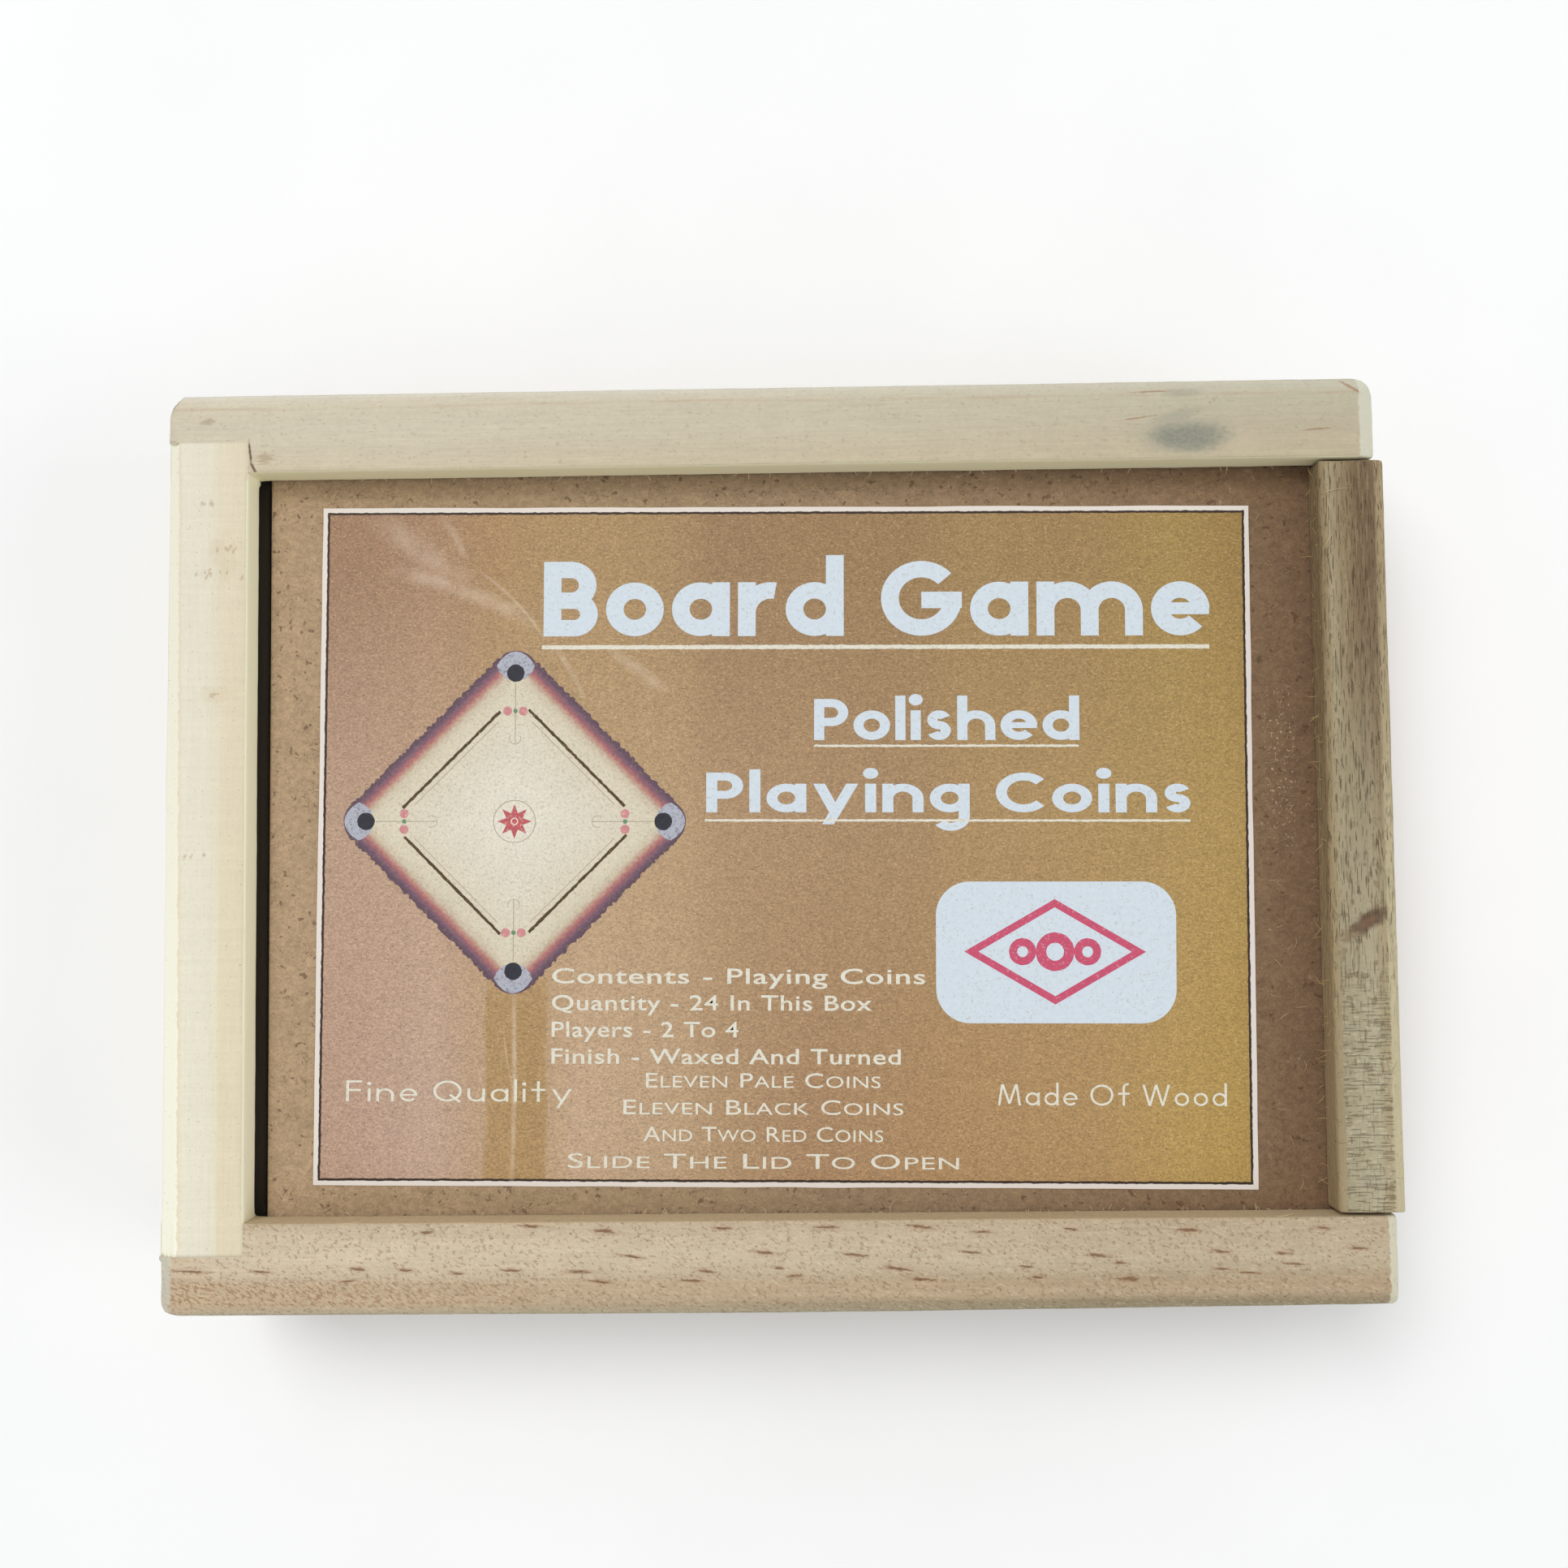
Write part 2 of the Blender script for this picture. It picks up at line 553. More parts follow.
def batten_wood():
    """Rough-sawn grey-brown strip: dark streaks, a knot, and saw marks towards the front."""
    g = Graph("rough_batten")
    x, y, _ = g.parts(g.place)
    back = g.ramp(x, [(70.6, (138, 119, 88)), (71.4, (152, 134, 100)), (71.8, (166, 152, 122)),
                      (73.2, (148, 131, 101)), (74.6, (132, 111, 83)), (75.4, (120, 99, 73)),
                      (77.5, (118, 98, 74)), (77.9, (160, 141, 108)), (79, (170, 152, 118))])
    front = g.ramp(x, [(70.6, (160, 139, 105)), (71.6, (164, 148, 115)), (71.9, (166, 155, 126)),
                       (76.0, (178, 168, 139)), (76.6, (171, 157, 126)), (77.5, (169, 154, 121)),
                       (77.8, (190, 179, 145)), (79, (194, 183, 150))])
    color = g.mix(g.fit(y, 38, -22), back, front)
    color, height = wood_grain(g, color, 1, 90, 0.8, 0.3)
    in_front, in_back = g.fit(y, -12, -27), g.fit(y, -34, -4)
    streak = g.both(g.dashes((0.34, 9, 0.34), 94, 0.605, 0.05), in_back)
    color = g.tint(color, streak, 0.24, (98, 80, 57))
    hairlines = g.both(g.dashes((0.16, 2.4, 0.16), 92, 0.615, 0.03), in_back)
    color = g.tint(color, hairlines, 0.7, (82, 62, 43))
    pale_lines = g.both(g.dashes((0.18, 5, 0.18), 89, 0.61, 0.04), in_back)
    color = g.tint(color, pale_lines, 0.22, (184, 168, 134))
    torn = g.dashes((0.9, 1.5, 1), 95, 0.6, 0.08)
    color = g.tint(color, g.both(torn, g.spot(74.6, -14, 5, 26), g.facing(z=1)), 0.5, (112, 94, 68))
    on_top = g.both(in_front, g.fit(x, 71.5, 72.0), g.fit(x, 77.9, 77.6))
    saw = g.both(g.dashes((3.0, 0.24, 2), 96, 0.56, 0.07), on_top)
    color = g.tint(color, saw, 0.58, (110, 96, 72))
    cross = g.both(g.dashes((0.26, 1.5, 2), 97, 0.62, 0.04), on_top)
    color = g.tint(color, cross, 0.5, (104, 90, 68))
    blocks = g.both(g.noise((1.6, 2.6, 2), seed=88, detail=0), on_top)
    color = g.tint(color, g.fit(blocks, 0.5, 0.56), 0.14, (198, 192, 170))
    flecks = g.dashes((0.9, 0.3, 2), 93, 0.6, 0.05)
    color = g.tint(color, g.both(flecks, on_top), 0.4, (208, 198, 170))
    tail = g.marks(((74.2, -11.5, 3.8, 1.5, 36), (72.8, -12.6, 2.2, 0.8, 40)), 99, (1.5, 0.5, 1), 0.4)
    color = g.tint(color, tail, 0.55, (120, 97, 70))
    knot = g.marks(((76.3, -10.0, 2.0, 1.5, 36), (75.1, -10.7, 2.7, 1.4, 34)), 98, (1, 1, 1), 0.3)
    color = g.tint(color, knot, 0.85, (92, 69, 53))
    color = g.tint(color, g.spot(75.2, -10.8, 2.0, 0.7, 34), 0.6, (134, 102, 78))
    color = end_grain(g, color, 1, (150, 136, 108), 100, band=1.6)
    for mark, depth in ((saw, 0.35), (streak, 0.15), (torn, 0.35), (hairlines, 0.35)):
        height = g.less(height, g.both(mark, depth))
    return g.finish(color, 0.8, height, 0.25)


def hardboard(name, stops, faces_up):
    """Pressed brown fibreboard; stops are colours along X."""
    g = Graph(name)
    x, y, _ = g.parts(g.place)
    color = g.ramp(x, stops)
    cloud = g.noise((5, 5, 5), seed=110, detail=3)
    pulp = g.noise((0.8, 0.7, 0.8), seed=111, detail=4, warp=0.5)
    grit = g.noise((0.28, 0.28, 0.28), seed=112)
    color = g.shade(color, (cloud, 0.08), (pulp, 0.24), (grit, 0.2))
    dark = g.fibres((1.5, 1.5, 1.5), 113, 0.02, level=0.54)
    color = g.tint(color, dark, 0.5, (84, 62, 44))
    color = g.tint(color, g.dashes((0.9, 0.9, 0.9), 121, 0.68, 0.04), 0.55, (80, 56, 38))
    pale = g.fibres((1.9, 1.9, 1.9), 118, 0.012, mask_size=(2, 2, 2), level=0.58)
    color = g.tint(color, pale, 0.5, (194, 168, 134))
    if faces_up:
        near_batten = g.both(g.fit(g.gap(x, 66.3), 2.8, 1.2), g.fit(g.gap(y, 9), 15, 5))
        specks = g.both(g.dashes((0.4, 0.4, 0.4), 124, 0.64, 0.04), near_batten)
        color = g.tint(color, specks, 0.6, (206, 188, 164))
    height = g.plus(g.both(pulp, 0.6), g.both(grit, 0.4))
    return g.finish(color, 0.72, height, 0.1, specular=0.2)


def on_label(g):
    """Places on the label in its own frame, u along it and v up it, from its centre."""
    low, high = node_box("lid_label")
    centre = (low + high) / 2
    node = g.add("ShaderNodeVectorRotate", rotation_type="Z_AXIS")
    g.put(node.inputs["Vector"], g.vector("SUBTRACT", g.place, (centre[0], centre[1], 0)))
    node.inputs["Angle"].default_value = -LABEL_TURN
    return node.outputs[0]


def film_sheen(g, place):
    """Where the clear film over the label is creased and catches the light, from 0 to 1."""
    u, v, _ = g.parts(place)

    def crease(start, end, bow, width, strength):
        """A streak from start to end that swings sideways by bow in its middle."""
        a, b = np.array(start), np.array(end)
        length = float(np.linalg.norm(b - a))
        tu, tv = (b - a) / length
        du = g.less(u, start[0])
        dv = g.less(v, start[1])
        share = g.both(g.plus(g.both(du, tu), g.both(dv, tv)), 1 / length)
        swing = g.both(g.both(share, g.less(1.0, share)), 4 * bow)
        away = g.less(g.less(g.both(dv, tu), g.both(du, tv)), swing)
        line = g.fit(g.gap(away, 0), width, 0.0)
        ends = g.fit(g.gap(share, 0.5), 0.52, 0.2)
        return g.both(line, ends, strength)

    streaks = (((-53, 36.4), (-31.5, 28.2), 1.0, 1.7, 0.62), ((-55, 44), (-39.5, 33.0), -0.4, 2.6, 0.42),
               ((-45.6, 43.4), (-42.0, 37.0), 0.5, 0.85, 0.5), ((-41, 36.4), (-31, 26), 0.9, 0.34, 0.7),
               ((-30.6, 26.2), (-26.0, 18.2), 0.5, 0.6, 0.5), ((-23.4, 26), (-14.6, 19.4), 0.0, 1.3, 0.5),
               ((-35.2, -16), (-35.3, -48), 0.35, 0.5, 0.75), ((-36.4, -22), (-34.4, -34), -0.5, 0.16, 0.6),
               ((-40.5, -26), (-35.8, -38), -0.6, 0.14, 0.4))
    total = crease(*streaks[0])
    for streak in streaks[1:]:
        total = g.math("MAXIMUM", total, crease(*streak))
    patchy = g.fit(g.noise((2.2, 2.2, 2.2), seed=130, detail=3, place=place), 0.3, 0.65, 0.45, 1.0)
    return g.both(total, patchy)


def add_film(g):
    """A thin clear film over the print."""
    g.shader.inputs["Coat Weight"].default_value = 0.1
    g.shader.inputs["Coat Roughness"].default_value = 0.5


def label_ground():
    """The brown and gold print, its dark line and the bare white margin."""
    g = Graph("label_ground")
    place = on_label(g)
    u, v, _ = g.parts(place)
    top = g.ramp(u, [(-58, (160, 126, 99)), (-46, (166, 132, 104)), (-39, (170, 136, 97)),
                     (-31, (173, 142, 100)), (-16, (169, 139, 98)), (-9, (156, 125, 91)),
                     (15, (155, 125, 87)), (26, (161, 132, 88)), (38, (158, 128, 85)),
                     (50, (165, 137, 82)), (58, (159, 129, 76))])
    middle = g.ramp(u, [(-58, (184, 153, 130)), (-46, (188, 157, 130)), (-36, (186, 156, 120)),
                        (-16, (184, 154, 118)), (-8, (174, 143, 109)), (14, (167, 136, 101)),
                        (26, (171, 140, 97)), (44, (172, 142, 93)), (58, (174, 144, 86))])
    bottom = g.ramp(u, [(-58, (184, 152, 131)), (-46, (190, 161, 141)), (-39, (187, 157, 126)),
                        (-33, (184, 152, 116)), (-27, (195, 166, 136)), (-14, (186, 157, 124)),
                        (-8, (176, 145, 110)), (3, (166, 132, 98)), (27, (173, 138, 95)),
                        (40, (174, 140, 94)), (50, (180, 148, 88)), (58, (176, 145, 81))])
    color = g.mix(g.fit(v, 36, 4, smooth=False), top, middle)
    color = g.mix(g.fit(v, 4, -36, smooth=False), color, bottom)
    gold = g.gap(g.wander(u, (3, 6, 1), 145, 0.3, place), -34.7)
    gold = g.both(g.fit(gold, 4.3, 3.6), g.fit(v, -12, -22))
    color = g.tint(color, gold, 0.66, (168, 134, 82))
    bands = g.noise((2.2, 900, 50), seed=140, detail=3, place=place)
    fibre = g.noise((0.42, 0.28, 1), seed=141, detail=3, place=place, warp=0.3)
    grit = g.noise((0.24, 0.2, 1), seed=142, detail=1, place=place)
    color = g.shade(color, (bands, 0.035), (fibre, 0.27), (grit, 0.24))
    gleam = g.dashes((0.42, 0.24, 1), 144, 0.63, 0.08, place=place)
    color = g.tint(color, gleam, 0.34, (226, 196, 150))
    chaff = g.dashes((0.4, 0.24, 1), 146, 0.66, 0.06, place=place)
    color = g.tint(color, chaff, 0.42, (112, 76, 50))
    edge = g.math("MINIMUM", g.less(LABEL_LENGTH / 2, g.gap(u, 0)),
                  g.less(LABEL_WIDTH / 2, g.gap(v, 0)))
    edge = g.wander(edge, (0.8, 0.8, 1), 143, 0.07, place)
    color = g.mix(g.fit(edge, 1.05, 0.98), color, (58, 44, 34))
    color = g.mix(g.fit(edge, 0.74, 0.66), color, (230, 221, 213))
    sheen = film_sheen(g, place)
    color = g.tint(color, sheen, 0.62, (228, 208, 184))
    height = g.plus(g.both(fibre, 0.5), g.both(sheen, 0.5))
    add_film(g)
    return g.finish(color, 0.55, height, 0.04, specular=0.2)


def ink(name, color, speckle=0.06, dots=None, dot_level=0.6):
    """A printed ink: faint speckle, and dots of the second colour where the print is thin."""
    g = Graph(name)
    place = on_label(g)
    tone = g.noise((0.5, 0.5, 1), seed=150, detail=3, place=place)
    color = g.shade(color, (tone, speckle))
    if dots:
        color = g.tint(color, g.dashes((0.3, 0.3, 1), 152, dot_level, 0.08, place=place), 0.6, dots)
    add_film(g)
    return g.finish(color, 0.55, tone, 0.02, specular=0.2)


def board_picture_ink(centre, half):
    """The printed playing board: cream field, coral then purple frame, along a diamond's sides."""
    g = Graph("ink_board_picture")
    place = on_label(g)
    u, v, _ = g.parts(place)
    side = g.plus(g.gap(u, centre[0]), g.gap(v, centre[1]))
    depth = g.both(g.less(half, g.wander(side, (0.4, 0.4, 1), 160, 0.34, place)), math.sqrt(0.5))
    color = g.ramp(depth, [(-0.75, (98, 76, 88)), (-0.35, (106, 82, 98)), (-0.05, (126, 92, 106)),
                           (0.3, (146, 98, 108)), (0.6, (174, 110, 108)), (0.9, (186, 138, 124)),
                           (1.25, (194, 168, 148)), (1.6, (206, 192, 168)), (2.6, (216, 206, 182)),
                           (14.0, (227, 221, 205))])
    speck = g.noise((0.32, 0.32, 1), seed=161, place=place)
    color = g.shade(color, (speck, 0.13), (g.noise((4, 4, 1), seed=162, place=place), 0.03))
    color = g.tint(color, g.dashes((0.34, 0.34, 1), 163, 0.58, 0.1, place=place), 0.28, (158, 138, 104))
    color = g.tint(color, film_sheen(g, place), 0.4, (236, 226, 208))
    add_film(g)
    return g.finish(color, 0.55, speck, 0.02, specular=0.2)


def coin_materials():
    """Turned and waxed wood for each kind of coin: (body, ring faces) by the kind's letter."""
    tones = {"black": ((40, 35, 32), (26, 23, 22), 0.12),
             "natural": ((219, 193, 146), (188, 150, 98), 1.0),
             "red": ((168, 34, 38), (128, 22, 28), 0.25)}
    made = {}
    for kind, (face, ring, grain_strength) in tones.items():
        for part, tone in (("body", face), ("ring", ring)):
            g = Graph(f"coin_{kind}_{part}")
            turned = g.add("ShaderNodeAttribute", attribute_name="turned").outputs["Vector"]
            px, py, pz = g.parts(turned)
            radius = g.vector("LENGTH", g.join(px, py))
            grain = g.noise((11, 0.9, 3.5), seed=170, detail=3, place=turned, warp=0.3)
            rings = g.noise((2.4, 26, 9), seed=171, detail=2, place=turned, warp=0.5)
            tool = g.noise((0.12, 40, 0.25), seed=172, detail=2, place=g.join(radius, 0.0, pz))
            grains = ((rings, 0.12 * grain_strength), (grain, 0.10 * grain_strength), (tool, 0.05))
            color = g.shade(tone, *grains)
            pore = g.dashes((1.8, 0.22, 0.5), 173, 0.63, 0.05, place=turned)
            color = g.tint(color, pore, 0.3 * grain_strength, (96, 62, 34))
            patches = g.dashes((1.6, 1.6, 1.6), 174, 0.56, 0.12, place=turned)
            wear = g.both(g.fit(radius, 13.2, 15.4), patches)
            bare_wood = (176, 142, 100) if kind == "natural" else (112, 86, 62)
            color = g.tint(color, wear, 0.3, bare_wood)
            height = g.plus(g.both(tool, 0.7), g.both(grain, 0.3))
            g.shader.inputs["Coat Weight"].default_value = 0.3
            g.shader.inputs["Coat Roughness"].default_value = 0.25
            rough = g.fit(tool, 0.2, 0.8, 0.32, 0.5, smooth=False)
            made[kind, part] = g.finish(color, rough, height, 0.05, specular=0.4)
    return made


def pin_steel():
    g = Graph("pin_steel")
    dull = g.noise((0.8, 0.8, 0.8), seed=180, detail=3)
    scratch = g.noise((0.1, 0.6, 0.6), seed=181, detail=2)
    color = g.ramp(dull, [(0.3, (120, 118, 114)), (0.55, (168, 168, 168)), (0.75, (146, 126, 108))])
    color = g.shade(color, (scratch, 0.08))
    g.shader.inputs["Metallic"].default_value = 0.85
    return g.finish(color, g.fit(dull, 0.3, 0.7, 0.3, 0.55), scratch, 0.03, specular=0.5)


def fibre_straw(name, tone):
    g = Graph(name)
    length = g.noise((1.2, 1.2, 1.2), seed=190, detail=2)
    color = g.shade(tone, (length, 0.2))
    return g.finish(color, 0.6, length, 0.01, specular=0.3)


# ---- Meshes ----

def lattice_noise(points, size, seed):
    """Smooth random values from -1 to 1 at points; size is a cell's length along each axis."""
    count = 24
    lattice = np.random.default_rng(seed).uniform(-1, 1, (count, count, count))
    cell = points / np.asarray(size, float) + 50
    base = np.floor(cell).astype(int)
    part = cell - base
    part = part * part * (3 - 2 * part)
    total = np.zeros(len(points))
    for corner in np.ndindex(2, 2, 2):
        weight = np.prod(np.where(corner, part, 1 - part), axis=1)
        index = (base + corner) % count
        total += weight * lattice[index[:, 0], index[:, 1], index[:, 2]]
    return total


def add_piece(name, mesh, materials, body, smooth=True):
    """A piece of the object from a mesh in metres, riding on a body."""
    piece = bpy.data.objects.new(name, mesh)
    SCENE.collection.objects.link(piece)
    for material in materials:
        mesh.materials.append(material)
    mesh.polygons.foreach_set("use_smooth", [smooth] * len(mesh.polygons))
    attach(piece, body)
    return piece


def mesh_of(name, points, faces):
    """A mesh from points in millimetres."""
    mesh = bpy.data.meshes.new(name)
    mesh.from_pydata((np.asarray(points, float) * MM).tolist(), [], faces)
    mesh.update()
    return mesh


def coordinates(mesh):
    """The mesh's points in millimetres."""
    flat = np.empty(len(mesh.vertices) * 3, np.float32)
    mesh.vertices.foreach_get("co", flat)
    return flat.reshape(-1, 3).astype(float) / MM


def set_coordinates(mesh, points):
    mesh.vertices.foreach_set("co", (points * MM).astype(np.float32).ravel())
    mesh.update()


def directions(mesh):
    flat = np.empty(len(mesh.vertices) * 3, np.float32)
    mesh.vertex_normals.foreach_get("vector", flat)
    return flat.reshape(-1, 3).astype(float)


def relaxed(points, edges, amounts, rounds):
    """points drawn towards their neighbours: edges round off where amounts is high."""
    count = len(points)
    degree = np.maximum(np.bincount(edges.ravel(), minlength=count), 1)
    for _ in range(rounds):
        mean = np.empty_like(points)
        for axis in range(3):
            ends = np.concatenate((edges[:, 0], edges[:, 1]))
            others = np.concatenate((points[edges[:, 1], axis], points[edges[:, 0], axis]))
            mean[:, axis] = np.bincount(ends, weights=others, minlength=count) / degree
        points = points + amounts[:, None] * (mean - points)
    return points


def shut_groove_end():
    """The deepest half millimetre of the end rail's groove, where the shut lid's edge comes to rest."""
    low, high = node_box("lid_panel")
    below, above, beyond = LID_SLACK
    deepest = low[X] - LID_SHUTS_BY - beyond
    near = np.array([deepest, low[Y], low[Z] - below])
    far = np.array([deepest + 0.5, high[Y], high[Z] + above])
    return near, far


def joint_distance(node, points):
    """How far each point is from the nearest of the other sides that node is glued to, and the planes
    that meet there, each as (axis, place). The end of the shut lid's groove is kept true as well."""
    nearest = np.full(len(points), 99.0)
    if node not in FRAME_PARTS:
        return nearest, []
    boxes = [node_box(other) for other in FRAME_PARTS if other != node]
    corners = [corner for other in FRAME_PARTS for corner in node_box(other)]
    planes = [(axis, corner[axis]) for corner in corners for axis in (X, Y, Z)]
    if node == "end_rail_left":
        low, high = shut_groove_end()
        boxes.append((low, high))
        planes += [(X, low[X]), (Z, low[Z]), (Z, high[Z])]
    for low, high in boxes:
        gap = np.maximum(np.maximum(low - points, points - high), 0)
        nearest = np.minimum(nearest, np.linalg.norm(gap, axis=1))
    return nearest, planes


def worn_copy(node, material, voxel, rounds, along, dent, seed, cuts=()):
    """A CAD wood part with rubbed edges and a slightly uneven face, inside the part's own box. voxel is
    its mesh's cell, rounds how often its edges are rubbed, along its grain's axis and dent the depth of its
    unevenness. cuts are planes, each a point and the direction it faces, that trim its outer edges."""
    source = frame["nodes"][node]
    low, high = node_box(node)
    shape = bpy.data.objects.new(f"{node}_shape", source.data.copy())
    SCENE.collection.objects.link(shape)
    remesh = shape.modifiers.new("even_mesh", "REMESH")
    remesh.mode = "VOXEL"
    remesh.voxel_size = voxel * MM
    seen = shape.evaluated_get(bpy.context.evaluated_depsgraph_get())
    mesh = bpy.data.meshes.new_from_object(seen)
    mesh.name = f"{node}_worn"
    bpy.data.objects.remove(shape)
    mesh.materials.clear()
    points = coordinates(mesh)
    for point, outward in cuts:
        outward = np.array(outward) / np.linalg.norm(outward)
        points -= np.maximum((points - point) @ outward, 0)[:, None] * outward
    flat = np.empty(len(mesh.edges) * 2, np.int32)
    mesh.edges.foreach_get("vertices", flat)
    rubbed = 0.4 + 0.4 * lattice_noise(points, (9, 9, 9), seed)
    rubbed += 0.3 * lattice_noise(points, (1.5, 1.5, 1.5), seed + 1)
    away, planes = joint_distance(node, points)
    rubbed *= np.clip(away / 1.5, 0, 1)
    points = relaxed(points, flat.reshape(-1, 2), np.clip(rubbed, 0, 0.8), rounds)
    near = away < voxel
    for axis, plane in planes:
        snapped = near & (np.abs(points[:, axis] - plane) < 0.8 * voxel)
        points[snapped, axis] = plane
    set_coordinates(mesh, points)
    sink = 0.6 * lattice_noise(points, grain_size(along, 26, 2.2), seed + 2)
    sink = sink + 0.4 * lattice_noise(points, grain_size(along, 3.0, 0.9), seed + 3) + 1
    points = points - directions(mesh) * (dent * sink * np.clip(away - voxel, 0, 1))[:, None]
    set_coordinates(mesh, np.clip(points, low, high))
    piece = add_piece(f"{node}_worn", mesh, [material], source["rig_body"])
    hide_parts(node)
    return piece


def stepped(low, high, radius, cell):
    """Positions from low to high: close together within radius of the ends, then about cell apart."""
    count = max(2, round((high - low - 2 * radius) / cell) + 1)
    inner = np.linspace(low + radius, high - radius, count)
    near = [0, 0.29, 0.62]
    return [low + radius * t for t in near] + list(inner) + [high - radius * t for t in reversed(near)]


def rounded_block(low, high, radius, cell):
    """Points and faces of a closed block whose edges all have the radius, as an even grid."""
    lines = [stepped(a, b, min(radius, (b - a) / 2), cell) for a, b in zip(low, high)]
    index, points, faces = {}, [], []

    def point(key):
        if key not in index:
            index[key] = len(points)
            points.append([lines[axis][key[axis]] for axis in range(3)])
        return index[key]

    for axis in range(3):
        a, b = (axis + 1) % 3, (axis + 2) % 3
        for side, last in ((0, False), (len(lines[axis]) - 1, True)):
            for i in range(len(lines[a]) - 1):
                for j in range(len(lines[b]) - 1):
                    corners = [(i, j), (i + 1, j), (i + 1, j + 1), (i, j + 1)]
                    if not last:
                        corners.reverse()
                    face = []
                    for p, q in corners:
                        key = [0, 0, 0]
                        key[axis], key[a], key[b] = side, p, q
                        face.append(point(tuple(key)))
                    faces.append(face)
    points = np.array(points)
    reach = np.minimum(radius, (np.array(high) - np.array(low)) / 2)
    core = np.clip(points, np.array(low) + reach, np.array(high) - reach)
    away = points - core
    length = np.linalg.norm(away / reach, axis=1)
    return core + away / np.maximum(length, 1)[:, None], faces


def lid_board():
    """The sliding panel: pressed board with soft, slightly furry edges."""
    low, high = node_box("lid_panel")
    points, faces = rounded_block(low, high, 0.45, 1.3)
    wave = lattice_noise(points, (1.4, 1.4, 1.4), 300)
    centre = (low + high) / 2
    rim = np.max(np.abs(points - centre) / ((high - low) / 2), axis=1) > 0.999
    points[:, :2] -= (np.sign(points - centre)[:, :2] * (0.05 * (1 + wave) * rim)[:, None])
    mesh = mesh_of("lid_board", np.clip(points, low, high), faces)
    stops = [(-66, (178, 152, 122)), (-56, (171, 145, 114)), (-20, (163, 139, 109)), (10, (152, 128, 100)),
             (40, (141, 116, 89)), (62, (130, 104, 78)), (72, (123, 97, 73))]
    material = hardboard("hardboard_lid", stops, True)
    piece = add_piece("lid_board", mesh, [material], "lid")
    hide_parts("lid_panel")


def label_frame(points):
    """Points given on the label, as places on the lid."""
    low, high = node_box("lid_label")
    centre = (low + high) / 2
    c, s = math.cos(LABEL_TURN), math.sin(LABEL_TURN)
    points = np.asarray(points, float)
    turned = points.copy()
    turned[:, 0] = centre[0] + c * points[:, 0] - s * points[:, 1]
    turned[:, 1] = centre[1] + s * points[:, 0] + c * points[:, 1]
    return turned


def label_sheet():
    """The paper, cut by hand: its edges wander a little."""
    low, high = node_box("lid_label")
    half = np.array([LABEL_LENGTH / 2, LABEL_WIDTH / 2])
    bottom = [-half[0], -half[1], low[2]]
    top = [half[0], half[1], high[2]]
    points, faces = rounded_block(bottom, top, 0.06, 2.0)
    wander = 0.06 * (1 + lattice_noise(points, (6, 6, 6), 310))
    for axis in (0, 1):
        near = np.clip(1 - (half[axis] - np.abs(points[:, axis])) / 0.5, 0, 1)
        points[:, axis] -= np.sign(points[:, axis]) * near * wander
    mesh = mesh_of("label_sheet", label_frame(points), faces)
    piece = add_piece("label_sheet", mesh, [label_ground()], "lid")
    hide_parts("lid_label")


